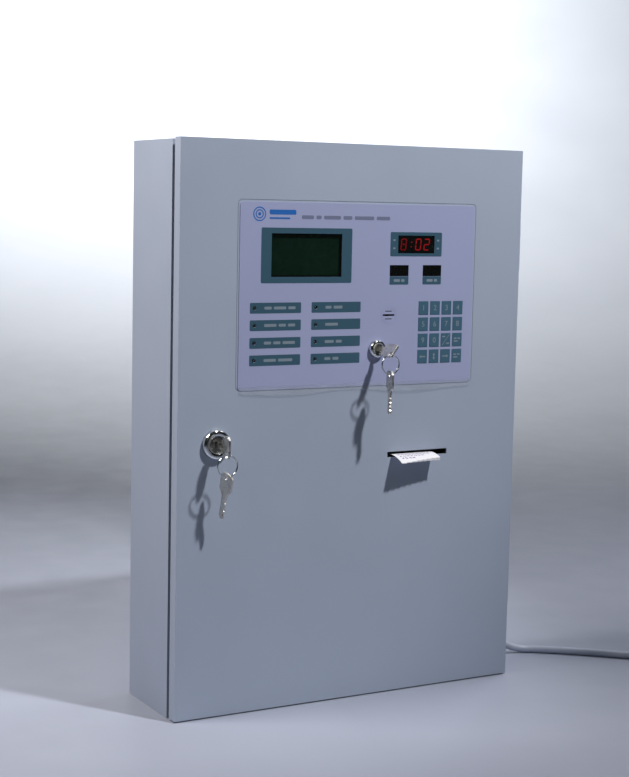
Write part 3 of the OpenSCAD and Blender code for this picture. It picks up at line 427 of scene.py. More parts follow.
def plate_parts(loops, front, thick, place=None):
    """Points and faces of a plate between two depths, bounded by the first loop and holed by the rest."""
    flat = bmesh.new()
    edges = []
    for loop in loops:
        corners = [flat.verts.new((x, 0, z)) for x, z in loop]
        edges += [flat.edges.new((a, b)) for a, b in zip(corners, corners[1:] + corners[:1])]
    flat.verts.index_update()
    bmesh.ops.triangle_fill(flat, use_beauty=True, edges=edges)
    count = len(flat.verts)
    points = [(v.co.x, front, v.co.z) for v in flat.verts] + [(v.co.x, front + thick, v.co.z) for v in flat.verts]
    faces = [[v.index for v in f.verts] for f in flat.faces]
    faces += [[i + count for i in reversed(f)] for f in faces]
    first = 0
    for loop in loops:
        for i in range(len(loop)):
            a, b = first + i, first + (i + 1) % len(loop)
            faces.append([a, b, b + count, a + count])
        first += len(loop)
    flat.free()
    if place:
        points = [place(*p) for p in points]
    return points, faces


def join_parts(parts):
    """Points and faces of several parts as one."""
    points, faces = [], []
    for more_points, more_faces in parts:
        faces += [[i + len(points) for i in f] for f in more_faces]
        points += more_points
    return points, faces


def add_plates(name, shapes, front, thick, body, material):
    """Several plates that face out of the door as one piece; a shape is a loop or a list of loops."""
    parts = []
    for shape in shapes:
        loops = shape if isinstance(shape[0], list) else [shape]
        parts.append(plate_parts(loops, front, thick))
    return add_piece(name, mesh_from(name, *join_parts(parts)), body, material)


def lathe_parts(profile, x, z, steps=72):
    """Solid of revolution about an axis along Y; the profile is a closed loop of (y, radius)."""
    points = [
        (x + r * math.cos(2 * math.pi * k / steps), y, z + r * math.sin(2 * math.pi * k / steps))
        for k in range(steps) for y, r in profile
    ]
    n = len(profile)
    faces = [
        [k * n + i, k * n + (i + 1) % n, (k + 1) % steps * n + (i + 1) % n, (k + 1) % steps * n + i]
        for k in range(steps) for i in range(n)
    ]
    return points, faces


def smooth_path(points, per_span=6):
    """Catmull-Rom curve through points."""
    pts = [Vector(p) for p in points]
    pts = [2 * pts[0] - pts[1], *pts, 2 * pts[-1] - pts[-2]]
    path = []
    for a, b, c, d in zip(pts, pts[1:], pts[2:], pts[3:]):
        for i in range(per_span):
            t = i / per_span
            path.append(0.5 * (2 * b + (c - a) * t + (2 * a - 5 * b + 4 * c - d) * t * t
                               + (3 * b - a - 3 * c + d) * t ** 3))
    return path + [pts[-2]]


def tube_parts(path, radius, sides=10, closed=False):
    """Tube along a path of vectors in millimetres, with capped ends."""
    count = len(path)
    tangents = []
    for i in range(count):
        ahead = path[(i + 1) % count] if closed else path[min(i + 1, count - 1)]
        behind = path[i - 1] if closed or i else path[0]
        tangents.append((ahead - behind).normalized())
    side = tangents[0].orthogonal().normalized()
    points = []
    for p, t in zip(path, tangents):
        side = (side - t * side.dot(t)).normalized()
        over = t.cross(side)
        for k in range(sides):
            a = 2 * math.pi * k / sides
            points.append(tuple(p + radius * (math.cos(a) * side + math.sin(a) * over)))
    rings = count if closed else count - 1
    faces = [
        [i * sides + k, (i + 1) % count * sides + k,
         (i + 1) % count * sides + (k + 1) % sides, i * sides + (k + 1) % sides]
        for i in range(rings) for k in range(sides)
    ]
    if not closed:
        faces += [list(range(sides)), list(range((count - 1) * sides, count * sides))]
    return points, faces


def box_parts(low, high):
    """Points and faces of a box between two corners."""
    x0, y0, z0 = low
    x1, y1, z1 = high
    points = [(x, y, z) for x in (x0, x1) for y in (y0, y1) for z in (z0, z1)]
    faces = [[0, 1, 3, 2], [4, 6, 7, 5], [0, 4, 5, 1], [2, 3, 7, 6], [0, 2, 6, 4], [1, 5, 7, 3]]
    return points, faces


def finish_node(node, material, bevel_mm=0.3, segments=3, rule=None, split=35):
    """Gives a CAD node its materials, rounds its edges, and keeps flat faces flat.
    rule takes a face's centre in millimetres and its normal, and returns the number of its material.
    """
    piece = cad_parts[node]
    mesh = piece.data
    mesh.materials.clear()
    for key in ([material] if isinstance(material, str) else material):
        mesh.materials.append(M[key])
    for face in mesh.polygons:
        face.material_index = rule(face.center / MM, face.normal) if rule else 0
        face.use_smooth = True
    if "custom_normal" in mesh.attributes:
        mesh.attributes.remove(mesh.attributes["custom_normal"])
    weld = piece.modifiers.new("weld", "WELD")
    weld.merge_threshold = 0.002 * MM
    if bevel_mm:
        flatten = piece.modifiers.new("flatten", "DECIMATE")
        flatten.decimate_type = "DISSOLVE"
        flatten.angle_limit = math.radians(0.5)
        flatten.delimit = {"MATERIAL"}
        round_edges(piece, bevel_mm, segments)
    part = piece.modifiers.new("split", "EDGE_SPLIT")
    part.split_angle = math.radians(split)
    piece.modifiers.new("even", "WEIGHTED_NORMAL")


# ---- mains lead

LEAD_R = 3.5
LEAD_ROUTE = [
    (203, 4, 11), (215, 3.5, 10), (226, 1.5, 6), (237, -2.5, 3.6), (247.5, -8.5, 3.6), (257, -15.5, 3.6),
    (267, -22.5, 3.6), (276.5, -30, 3.6), (286, -37.5, 3.6), (295, -45, 3.6), (304, -53, 3.6),
    (313, -61, 3.6), (322, -69, 3.6), (330.5, -77, 3.6), (339.5, -85.5, 3.6), (348, -93.5, 3.6),
    (357, -101.5, 3.6), (363.5, -107.5, 3.6),
]
TAIL_ROUTE = [(439, -62, 11), (439, -50, 11), (439, -40, 11)]
COIL_AT = (395, -74)
COIL_START = -133
COIL_PITCH = 7.2
COIL_OUTER, COIL_INNER, COIL_TOP = 46, 28.37, 44
LOW_Z, HIGH_Z = 3.7, 11
CLIMB_TURNS = 0.75
POINTS_PER_TURN = 24


def coil_points():
    """Inward along the lower layer, up at the middle, and outward along the upper layer."""
    inward = (COIL_OUTER - COIL_INNER) / COIL_PITCH
    outward = (COIL_TOP - COIL_INNER) / COIL_PITCH
    turns = -COIL_START / 360 + 5
    count = round(turns * POINTS_PER_TURN)
    points = []
    for i in range(1, count + 1):
        turn = turns * i / count
        if turn < inward:
            radius, height = COIL_OUTER - COIL_PITCH * turn, LOW_Z
        elif turn < inward + CLIMB_TURNS:
            share = (turn - inward) / CLIMB_TURNS
            radius, height = COIL_INNER, LOW_Z + (HIGH_Z - LOW_Z) * share * share * (3 - 2 * share)
        else:
            radius = COIL_INNER + (COIL_TOP - COIL_INNER) * (turn - inward - CLIMB_TURNS) / (
                turns - inward - CLIMB_TURNS)
            height = HIGH_Z
        angle = math.radians(COIL_START + 360 * turn)
        points.append((COIL_AT[0] + radius * math.cos(angle), COIL_AT[1] + radius * math.sin(angle), height))
    return points


def make_lead():
    """The mains lead as one curve, from the gland through the coil to the plug."""
    route = LEAD_ROUTE + coil_points() + TAIL_ROUTE
    curve = bpy.data.curves.new("mains_lead", "CURVE")
    curve.dimensions = "3D"
    curve.bevel_depth = LEAD_R * MM
    curve.bevel_resolution = 5
    curve.resolution_u = 6
    curve.use_fill_caps = True
    spline = curve.splines.new("BEZIER")
    spline.bezier_points.add(len(route) - 1)
    for point, place in zip(spline.bezier_points, route):
        point.co = at(*place)
        point.handle_left_type = point.handle_right_type = "AUTO"
    curve.materials.append(M["cord"])
    lead = bpy.data.objects.new("mains_lead", curve)
    bpy.context.scene.collection.objects.link(lead)
    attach(lead, "cabinet")
    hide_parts("mains_cord", "cord_coil")
    length = sum((Vector(b) - Vector(a)).length for a, b in zip(route, route[1:])) * MM
    make_tie()


def make_tie():
    """Hook-and-loop tie round the coil, with its free end pressed down on itself."""
    half_wide = 5.0
    thick = 0.8
    inner, outer, top = COIL_INNER - 4.2, COIL_OUTER + 3.8, HIGH_Z + LEAD_R + 0.3
    ring = round_rect((inner + outer) / 2, top / 2 + 0.1, outer - inner, top, 3.2)
    hole = round_rect((inner + outer) / 2, top / 2 + 0.1, outer - inner - 2 * thick, top - 2 * thick, 2.6)
    flap = [(inner + 4, top), (outer - 6, top), (outer - 6, top + thick), (inner + 4.6, top + thick)]

    def place(x, y, z):
        return COIL_AT[0] + y, COIL_AT[1] - x, z

    parts = [plate_parts(loops, -half, 2 * half, place)
             for loops, half in (([ring, hole], half_wide), ([flap], half_wide * 0.9))]
    tie = add_piece("coil_tie", mesh_from("coil_tie", *join_parts(parts)), "cabinet", "tie")
    add_bevel(tie, 0.25)
    return tie


make_lead()


# ---- printed film

film_low, film_high = node_box("front_film")
FILM_Y = film_low.y
INK = 0.06
INK_Y = FILM_Y - INK
# Openings of the displays as middle X and Z, width and height
LCD = (-53.5, 402.5, 70, 37.5)
CLOCK = (59.3, 412.6, 39, 16)
COUNTERS = ((41.6, 389, 20, 10), (76.8, 389, 20, 10))
LED_COLUMNS = (-104, -43.5)
LED_ROWS = (357, 342, 326.8, 311.7)
BAR = (50, 9.3)
SHEET_Y = -57.12
LED_HOLE_R = 1.8
SOUNDER = (31.5, 349.2)
LEGEND_WIDTHS = (((7, 12, 7), (12, 7, 7), (7, 7, 12), (12, 14)), ((6, 9), (13,), (9, 6), (6, 6)))


def box_loop(x, z, w, h, r=0.3):
    """A rectangle with small round corners."""
    return round_rect(x, z, w, h, r, 3)


def dashes(x, z, widths, gap, high):
    """Plain rounded dashes in a row from x, in place of a printed legend."""
    loops = []
    for width in widths:
        loops.append(box_loop(x + width / 2, z, width, high, high * 0.3))
        x += width + gap
    return loops


def print_ink(name, shapes, material, under=0):
    """Shapes printed on the film, over so many other layers of ink."""
    add_plates(name, shapes, INK_Y - under * INK, INK, "door", material)


def make_film_print():
    """The coloured panels round the lamps and displays, with dashes for their legends."""
    bars, marks = [], []
    for column, x in enumerate(LED_COLUMNS):
        for row, z in enumerate(LED_ROWS):
            bars.append([box_loop(x - 4.5 + BAR[0] / 2, z, *BAR, 0.8), circle(x, z, LED_HOLE_R, 24)])
            marks += dashes(x + 9.5, z, LEGEND_WIDTHS[column][row], 2.2, 2.5)
    lcd_x, lcd_z, lcd_w, lcd_h = LCD
    bars.append([box_loop(-53.4, 402.2, 90.3, 47.8, 1.2), box_loop(lcd_x, lcd_z, lcd_w, lcd_h, 0.3)])
    clock_x, clock_z, clock_w, clock_h = CLOCK
    bars.append([box_loop(59.1, 412.7, 55.1, 21.7, 1), box_loop(clock_x, clock_z, clock_w, clock_h, 0.3)])
    for side in (-1, 1):
        for up in (-1, 1):
            marks += dashes(57.9 + side * 23.4, 412.7 + up * 3.6, (2.4,), 0, 1.6)
    for x, z, w, h in COUNTERS:
        bars.append(box_loop(x, z - h / 2 - 3.8, w, 7.4, 0.6))
        marks += dashes(x - 5.6, z - h / 2 - 3.8, (6.5, 3.5), 1.4, 2.4)
    print_ink("film_panels", bars, "teal")
    print_ink("film_legends", marks, "legend", 1)


def make_title():
    """A title of plain dashes of several lengths."""
    loops = dashes(-59.5, 435.4, (12, 5, 17, 9, 20, 14), 2.6, 3.2)
    print_ink("film_title", loops, "title")


def make_emblem():
    """Three plain rings inside each other, with two dashes beside them."""
    x, z = -100.6, 437.6
    shapes = [
        [circle(x, z, 6.2, 48), circle(x, z, 5.2, 48)],
        [circle(x, z, 3.9, 40), circle(x, z, 2.9, 40)],
        circle(x, z, 1.5, 24),
        box_loop(-78, 439.4, 26, 4.2, 1.2),
        box_loop(-81, 434.2, 20, 1.5, 0.5),
    ]
    print_ink("film_emblem", shapes, "blue")


def make_film_edge():
    """Rim pressed into the film round the sounder, a thin dark ring of painted shade at the clear protective sheet's
    edge, and the sheet's free lower edge.
    """
    x, z = SOUNDER
    rim = [[circle(x, z, r, 48), circle(x, z, r - 0.35, 48)] for r in (8.4, 6.9)]
    add_plates("film_sounder_rim", rim, FILM_Y - 0.12, 0.12, "door", "film")
    # Thin dark ring round the film where the clear sheet's edge lies: painted shade standing in for how that edge
    # looks.
    wide, tall = film_high.x - film_low.x + 4, film_high.z - film_low.z + 2
    middle = ((film_low.x + film_high.x) / 2, (film_low.z + film_high.z) / 2 + 1)
    rim = [round_rect(*middle, wide, tall, 4), round_rect(*middle, wide - 0.7, tall - 0.7, 3.65)]
    add_plates("sheet_edge", [rim], SHEET_Y, 0.12, "door", "sheet_edge")
    steps = 60
    left, right = film_low.x + 1.0, film_high.x - 0.5
    rows = []
    for i in range(steps + 1):
        share = i / steps
        x = left + (right - left) * share
        wave = 0.5 + 0.5 * math.sin(share * 9.5 + 0.4) * math.sin(share * math.pi)
        drop = 2.5 + 5.0 * wave * math.sin(share * math.pi) ** 0.5
        lift = 0.35 + 1.1 * wave
        rows.append([
            (x, FILM_Y - 0.1, film_low.z + 3), (x, FILM_Y - 0.14, film_low.z),
            (x, FILM_Y - lift * 0.5, film_low.z - drop * 0.5), (x, FILM_Y - lift, film_low.z - drop),
        ])
    points = [p for row in rows for p in row]
    faces = [
        [4 * i + k, 4 * i + k + 1, 4 * i + k + 5, 4 * i + k + 4] for i in range(steps) for k in range(3)
    ]
    sheet = add_piece("film_loose_edge", mesh_from("film_loose_edge", points, faces), "door", "clear", 60)
    sheet.modifiers.new("thickness", "SOLIDIFY").thickness = 0.1 * MM


make_film_print()
make_title()
make_emblem()
make_film_edge()


# ---- displays and keypad

DIGIT_SEGMENTS = {"8": "abcdefg", "0": "abcdef", "2": "abged", " ": ""}
SLANT = 0.1


def segment_loop(name, x, z, w, h, pen):
    """One bar of a seven-segment digit, its ends pointed and the digit leaning a little."""
    places = {
        "a": (0, h / 2, True), "g": (0, 0, True), "d": (0, -h / 2, True),
        "b": (w / 2, h / 4, False), "c": (w / 2, -h / 4, False),
        "e": (-w / 2, -h / 4, False), "f": (-w / 2, h / 4, False),
    }
    cx, cz, level = places[name]
    long_half = (w if level else h / 2) / 2 - pen * 0.12
    side = pen / 2
    bar = [(-long_half, 0), (-long_half + side, -side), (long_half - side, -side),
           (long_half, 0), (long_half - side, side), (-long_half + side, side)]
    points = [(a, b) if level else (b, a) for a, b in bar]
    return [(x + cx + a + SLANT * (cz + b), z + cz + b) for a, b in points]


def make_digits(prefix, x, z, w, h, pen, places, front):
    """Seven-segment digits; places is a list of (offset, digit)."""
    lit, dark = [], []
    for offset, digit in places:
        for name in "abcdefg":
            loop = segment_loop(name, x + offset, z, w, h, pen)
            (lit if name in DIGIT_SEGMENTS[digit] else dark).append(loop)
    if lit:
        colon = [circle(x - 5.0 + SLANT * s, z + s, pen * 0.55, 16) for s in (-2, 2)]
        add_plates(prefix + "_lit", lit + colon, front, 0.1, "door", "segment_on")
    if dark:
        add_plates(prefix + "_dark", dark, front, 0.1, "door", "segment_off")


def make_displays():
    """The digits of the clock and counters, the graphic display's glass, and its black mask, which also serves as
    painted shade of the window's recess.
    """
    digits_front = node_box("segment_displays")[0].y - 0.1
    x, z = CLOCK[:2]
    make_digits("clock_digits", x, z, 5.2, 9.6, 1.05, [(-13.2, "8"), (2.4, "0"), (11.4, "2")], digits_front)
    for i, (cx, cz, w, h) in enumerate(COUNTERS):
        make_digits(f"counter_digits_{i + 1}", cx, cz, 3.6, 7, 0.8, [(-3.6, " "), (3.2, " ")], digits_front)
    lcd_x, lcd_z, lcd_w, lcd_h = LCD
    floor_y = node_box("lcd_module")[0].y + 2
    glass = add_plates("lcd_glass", [box_loop(lcd_x, lcd_z, lcd_w + 1, lcd_h + 1.6, 0.4)],
                       floor_y - 0.9, 0.9, "door", "lcd")
    add_bevel(glass, 0.15)
    # Black ring just inside the window: the display's mask, and also painted shade where the window's recess would be
    # shaded.
    rim = [[box_loop(lcd_x, lcd_z, lcd_w + 1.8, lcd_h + 2.4, 0.4), box_loop(lcd_x, lcd_z, lcd_w - 3, lcd_h - 3, 0.6)]]
    add_plates("lcd_mask_and_recess_shade", rim, floor_y - 1.1, 0.2, "door", "black")


KEY_PLACES = [(68.7 + 12.55 * (i % 4), 355 - 14.75 * (i // 4)) for i in range(16)]
KEY_FACE_Y = node_box("key_01")[0].y
KEY_SLASH, KEY_ARROWS = 10, {12: 180, 13: None, 14: 0}


def digit_mesh(name, text, x, z, height, front):
    """A numeral from the built-in face, as a flat mesh that looks out of the door."""
    font = bpy.data.curves.new(name, "FONT")
    font.body = text
    font.size = height * MM * 1.35
    font.align_x = font.align_y = "CENTER"
    font.extrude = 0.03 * MM
    font.offset = 0.02 * MM
    holder = bpy.data.objects.new(name, font)
    bpy.context.scene.collection.objects.link(holder)
    graph = bpy.context.evaluated_depsgraph_get()
    mesh = bpy.data.meshes.new_from_object(holder.evaluated_get(graph))
    mesh.name = name
    mesh.transform(Matrix.Translation(at(x, front, z)) @ Matrix.Rotation(math.radians(90), 4, "X"))
    mesh.materials.clear()
    bpy.data.objects.remove(holder)
    bpy.data.curves.remove(font)
    return mesh


def arrow_loop(x, z, length, turn):
    """A plain arrow pointing along turn degrees; turn None gives one with two heads."""
    head, half, stem = 2.0, 1.5, 0.55
    end = length / 2
    right = [(end - head, -stem), (end - head, -half), (end, 0), (end - head, half), (end - head, stem)]
    if turn is None:
        left = [(-a, -b) for a, b in right]
        points, angle = right + left, math.radians(90)
    else:
        points, angle = right + [(-end, stem), (-end, -stem)], math.radians(turn)
    return [(x + a * math.cos(angle) - b * math.sin(angle), z + a * math.sin(angle) + b * math.cos(angle))
            for a, b in points]


def make_key_legends():
    """Numerals, a slash, arrows and plain dashes on the keys."""
    numbers = "1234567890"
    for i, (x, z) in enumerate(KEY_PLACES):
        name, body = f"legend_{i + 1:02d}", f"key_{i + 1:02d}"
        front = KEY_FACE_Y - 0.05
        if i < len(numbers):
            add_piece(name, digit_mesh(name, numbers[i], x, z, 5.2, front), body, "legend")
            continue
        if i == KEY_SLASH:
            shapes = [[(x - 4.2, z - 4.9), (x - 3.6, z - 4.9), (x + 4.2, z + 4.9), (x + 3.6, z + 4.9)]]
            shapes += dashes(x - 3.8, z + 3.1, (3.2,), 0, 1.3) + dashes(x + 0.8, z - 3.1, (3.2,), 0, 1.3)
        elif i in KEY_ARROWS:
            shapes = [arrow_loop(x, z, 6.4, KEY_ARROWS[i])]
        else:
            shapes = dashes(x - 3.5, z + 1.3, (3, 3), 1, 1.3) + dashes(x - 3.5, z - 1.3, (4.5,), 0, 1.3)
        add_plates(name, shapes, front, 0.06, body, "legend")


make_displays()
make_key_legends()


# ---- locks, keys and rings

LOCK = (-139, 241)
SWITCH = (19.3, 319.3)
SWITCH_TILT = 36
BLADE_HALF = 2.8
SPARE_L = {"lock": 41, "switch": 39}
SPARE_LEAN_TURN = {"lock": (12, 12), "switch": (0, -13)}
# Where each ring's wire passes through its key's bow, and the ring's radius
RINGS = {"lock": ((-139, -80.5, 234.6), 9.3), "switch": ((17.12, -86, 316.3), 8.8)}


def collar_profile(front, back, outer, inner, rear, barrel, depth):
    """Closed section of a domed collar with its barrel behind: (y, radius) from the front lip round."""
    dome = [(front + depth * (1 - math.sin(math.radians(a))), outer - depth * 0.9 * (1 - math.cos(math.radians(a))))
            for a in range(0, 91, 15)]
    lip = [(front + 0.15, inner + 0.55), (front + 0.5, inner)]
    return [*dome, *lip, (rear, inner), (rear, barrel), (back, barrel), (back, outer - 0.4), (back - 0.4, outer)]


def thread_profile(start, end, radius, pitch=1.0):
    """Zigzag of a fine thread from start to end."""
    count = int((end - start) / pitch)
    return [(start + pitch * i / 2, radius - (0.35 if i % 2 else 0)) for i in range(2 * count + 1)]


def make_collar(name, node, x, z, front, back, outer, inner, rear, barrel, dome):
    """A turned collar with a threaded barrel, in place of a lock's plain housing."""
    base = collar_profile(front, back, outer, inner, rear, barrel, dome)
    split = base.index((rear, barrel))
    thread = list(reversed(thread_profile(back + 2, rear - 1, barrel)))
    profile = base[:split + 1] + thread + base[split + 1:]
    piece = add_piece(name, mesh_from(name, *lathe_parts(profile, x, z, 96)), "door", "chrome", 50)
    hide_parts(node)


def make_locks():
    """The chromed collars of the cam lock and the key switch."""
    low, high = node_box("lock_housing")
    make_collar("lock_collar", "lock_housing", *LOCK, low.y, -57, (high.x - low.x) / 2, 8.15, high.y, 9.5, 3.2)
    low, high = node_box("switch_housing")
    make_collar("switch_collar", "switch_housing", *SWITCH, low.y, -57.6, (high.x - low.x) / 2, 4.55,
                high.y, 6, 2.6)


def key_plate(name, node, body, loops, thick, place):
    """A flat key cut from nickelled sheet, in place of a CAD key."""
    mesh = mesh_from(name, *plate_parts(loops, -thick / 2, thick, place))
    piece = add_piece(name, mesh, body, "nickel")
    add_bevel(piece, 0.28, 2, 50)
    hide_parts(node)


def bitting(start, step, base, depths):
    """Points of a toothed blade edge, as cuts of different depths."""
    edge = []
    for i, depth in enumerate(depths):
        a = start + step * i
        edge += [(a, base), (a + step * 0.3, base + depth), (a + step * 0.6, base + depth), (a + step * 0.9, base)]
    return edge


def key_outline(bow_start, bow_length, bow_half, blade_half, reach, waist, corner=0.42):
    """Outline of a flat key: u along the key with the blade's tip at reach, v across it."""
    end = bow_start - bow_length
    corner *= bow_half
    shoulder = bow_start - min(bow_length * 0.22, corner)
    bow = [
        (bow_start, -waist), (shoulder, -bow_half),
        (end + corner, -bow_half), (end, -bow_half + corner), (end, bow_half - corner),
        (end + corner, bow_half), (shoulder, bow_half), (bow_start, waist),
    ]
    tip = [(bow_start + 1.5, waist), (bow_start + 1.5, blade_half), (reach - 2, blade_half), (reach, blade_half - 2),
           (reach, -blade_half + 1.2), (reach - 1.2, -blade_half)]
    teeth = bitting(max(bow_start + 3, reach - 17), 3.6, -blade_half, (1.2, 0.7, 1.5, 0.9))[::-1]
    back = [(bow_start + 1.5, -blade_half), (bow_start + 1.5, -waist)]
    return bow + tip + teeth + back


def make_keys():
    """The two keys in their locks and the two spare ones on the rings."""
    low, high = node_box("lock_key")
    x, z = LOCK
    bow_end, reach = low.y, high.y

    def in_lock(u, v, w):
        return x + v, u, z + w

    outline = key_outline(-72, -72 - bow_end, 9.6, BLADE_HALF, reach, 5.2, 0.3)
    hole = circle(RINGS["lock"][0][1], RINGS["lock"][0][2] - z, 2.75, 24)
    key_plate("lock_key_plate", "lock_key", "lock_key", [outline, hole], 2, in_lock)

    low, high = node_box("switch_key")
    sx, sz = SWITCH
    tilt = math.radians(SWITCH_TILT)

    def in_switch(u, v, w):
        return sx + v * math.cos(tilt) + w * math.sin(tilt), u, sz - v * math.sin(tilt) + w * math.cos(tilt)

    outline = key_outline(-72.5, -72.5 - low.y, 6.7, BLADE_HALF, high.y, 5.6, 0.16)
    hole = circle(RINGS["switch"][0][1], -3.71, 2.4, 24)
    key_plate("switch_key_plate", "switch_key", "switch_key", [outline, hole], 2, in_switch)

    for owner, ((ring_x, ring_y, ring_z), radius) in RINGS.items():
        name = owner + "_spare_key"
        lean, turn = SPARE_LEAN_TURN[owner]
        pose = (Matrix.Translation((ring_x, ring_y, ring_z - 2 * radius))
                @ Matrix.Rotation(math.radians(turn), 4, "Z") @ Matrix.Rotation(math.radians(lean), 4, "X"))

        def hanging(u, v, w, pose=pose):
            return tuple(pose @ Vector((v, w, -u)))

        outline = key_outline(14.5, 17.9, 7.6, BLADE_HALF, SPARE_L[owner] - 4, 4.2)
        key_plate(name + "_plate", name, name, [outline, circle(0, 0, 2.15, 24)], 2, hanging)


def split_ring(name, node, body, x, y, z, radius):
    """Flat split ring: two turns of wire side by side, with a step where the inner end shows."""
    turns, steps = 1.92, 110
    path = []
    for i in range(steps + 1):
        share = i / steps
        a = math.radians(100) + 2 * math.pi * turns * share
        across = 0.42 * math.tanh((share - 0.5) * 9)
        path.append(Vector((x + radius * math.cos(a), y + across, z + radius * math.sin(a))))
    points, faces = tube_parts(path, 0.44, 10)
    piece = add_piece(name, mesh_from(name, points, faces), body, "chrome", 60)
    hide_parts(node)


def make_rings():
    """The split rings, each hanging from its key's bow."""
    for owner, ((x, y, z), radius) in RINGS.items():
        node = owner + "_ring"
        split_ring(node + "_wire", node, node, x, y, z - radius, radius)


def make_plug_faces():
    """The rim of the lock's disc and the small marks round it."""
    x, z = LOCK
    front = node_box("lock_plug")[0].y
    marks = [circle(x + 5.9 * math.cos(math.radians(a)), z + 5.9 * math.sin(math.radians(a)), 0.55, 12)
             for a in range(30, 391, 60)]
    rim = [[circle(x, z, 7.9, 48), circle(x, z, 7.2, 48)], *marks]
    add_plates("lock_disc_marks", rim, front - 0.15, 0.15, "lock_barrel", "nickel")


make_locks()
make_keys()
make_rings()
make_plug_faces()


# ---- paper

SLOT_Z = 222.1
PAPER_LEFT, PAPER_W = 38.95, 44.5
PAPER_RISE_Y = -13.65
BEND_R = 8
LIP_Y = -55.5
DROOP_L, DROOP_ANGLE, DROOP_STEPS = 21.5, 30, 12


def paper_line():
    """Side view of the strip as (y, z): up from the roll, over a bend, out of the slot and down."""
    line = [(PAPER_RISE_Y, 188 + 5 * i) for i in range(5)]
    line += [(PAPER_RISE_Y - BEND_R + BEND_R * math.cos(math.radians(a)),
              SLOT_Z - BEND_R + BEND_R * math.sin(math.radians(a))) for a in range(0, 91, 15)]
    line += [(PAPER_RISE_Y - BEND_R + (LIP_Y - PAPER_RISE_Y + BEND_R) * i / 16, SLOT_Z) for i in range(1, 17)]
    y, z = LIP_Y, SLOT_Z
    for i in range(DROOP_STEPS):
        for _ in range(4):
            angle = math.radians(DROOP_ANGLE * (i + 1) / DROOP_STEPS)
            y -= DROOP_L / DROOP_STEPS / 4 * math.cos(angle)
            z -= DROOP_L / DROOP_STEPS / 4 * math.sin(angle)
            line.append((y, z))
    return line


def make_paper():
    """The paper strip with its torn end, printed with plain marks where it hangs out."""
    random.seed(7)
    line = paper_line()
    columns = 90
    torn = [0.35 * math.sin(i * 0.55) + 0.25 * math.sin(i * 1.7) + random.uniform(-0.12, 0.12)
            for i in range(columns + 1)]
    points = []
    for y, z in line:
        for i in range(columns + 1):
            share = i / columns
            limit = line[-1][0] + 5.5 * share + torn[i] + 0.4
            curl = 0.35 * math.sin(share * math.pi) * max(0.0, (LIP_Y - y) / DROOP_L)
            points.append((PAPER_LEFT + PAPER_W * share, max(y, limit), z + curl))
    wide = columns + 1
    faces, inks = [], []
    for j in range(len(line) - 1):
        if line[j + 1][0] > line[j][0]:
            continue
        for i in range(columns):
            faces.append([j * wide + i, j * wide + i + 1, (j + 1) * wide + i + 1, (j + 1) * wide + i])
            inks.append(int(is_inked(i, line[j][0])))
    mesh = mesh_from("paper_sheet", points, faces, inks, 0.01)
    sheet = add_piece("paper_sheet", mesh, "door", ["paper", "ink"], 80)
    sheet.modifiers.new("thickness", "SOLIDIFY").thickness = 0.12 * MM
    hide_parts("paper_strip")


def is_inked(column, y):
    """Generic printed marks in rows across the paper, where it is outside the door."""
    row = int((LIP_Y - 3 - y) / 4.2)
    inside = (LIP_Y - 3 - y) % 4.2
    if y > LIP_Y - 3 or row > 2 or inside > 2.4 or not 8 < column < (78, 62, 40)[row]:
        return False
    cell, part = divmod(column - 8, 8)
    return part < 6 and (int(inside / 0.6) + cell * row + part // 2) % 3 != 1


make_paper()


# ---- CAD nodes that are shown as they are


# Materials, edge radius in millimetres and its segments, for nodes of one material
PLAIN_FINISHES = {
    ("paint", 0.5, 3): ("cabinet_shell", "door_panel"),
    ("paint", 0.25, 3): ("cabinet_hinge_leaves", "door_hinge_leaves", "gland_plate"),
    ("zinc", 0.15, 2): ("hinge_pins", "cabinet_screws", "door_nuts", "battery_bracket", "lock_cam"),
    ("zinc", 0.2, 2): ("printer_frame",),
    ("black", 0.3, 2): ("cable_gland",),
    ("black", 0.1, 2): ("segment_displays",),
    ("foam", 0.8, 3): ("door_gasket",),
    ("film", 0.12, 2): ("front_film",),
    ("window", 0, 3): ("display_windows",),
    ("lens", 0, 3): ("status_leds",),
    ("grey_moulding", 0.4, 3): ("print_mechanism",),
    ("plug_metal", 0.25, 3): ("lock_plug",),
    ("plug_metal", 0.2, 3): ("switch_plug",),
    ("paper", 0.2, 2): ("paper_roll",),
    ("red", 0.3, 3): ("mains_rocker",),
    ("green", 0.3, 3): ("battery_rocker",),
    ("key", 0.22, 3): [f"key_{i + 1:02d}" for i in range(len(KEY_PLACES))],
}
BOARD_FACE_Y = node_box("main_board")[1].y - 1.9
SUPPLY_LOW = node_box("power_supply")[0]


def board_rule(place, normal):
    """The board's components by where they stand: capacitors, converter, relays and black chips."""
    if place.y > BOARD_FACE_Y:
        return 0
    if place.x > 63 and place.z > 424:
        return 2
    if place.x > 64 and place.z > 375:
        return 3
    return 4 if place.x < -20 and place.z < 345 else 1


def supply_rule(place, normal):
    """The supply's terminal block is black in its plated case."""
    return int(place.z < SUPPLY_LOW.z + 15.4 and SUPPLY_LOW.y + 5 < place.y < SUPPLY_LOW.y + 19.5)


def bracket_rule(place, normal):
    """The rocker housings and fuse holders are black, the bent plate is plated."""
    in_rocker = any(abs(place.x - x) < 9.3 and abs(place.z - 160) < 13.3 for x in (-24, 4))
    in_fuse = any((place.x - x) ** 2 + (place.z - 128) ** 2 < 7.7 ** 2 for x in (-24, 4))
    return int(in_rocker or in_fuse)


def display_rule(place, normal):
    """The board is green, the sounder and the switches' bodies are black, the plungers pale."""
    if (place.x - SOUNDER[0]) ** 2 + (place.z - SOUNDER[1]) ** 2 < 12.1 ** 2 and place.y < -45.2:
        return 1
    if abs(place.y + 45) < 0.3 or abs(place.y + 43.4) < 0.3:
        return 0
    return 2 if place.y < -45 and place.y > -49.6 and abs(normal.y) < 0.5 else 1


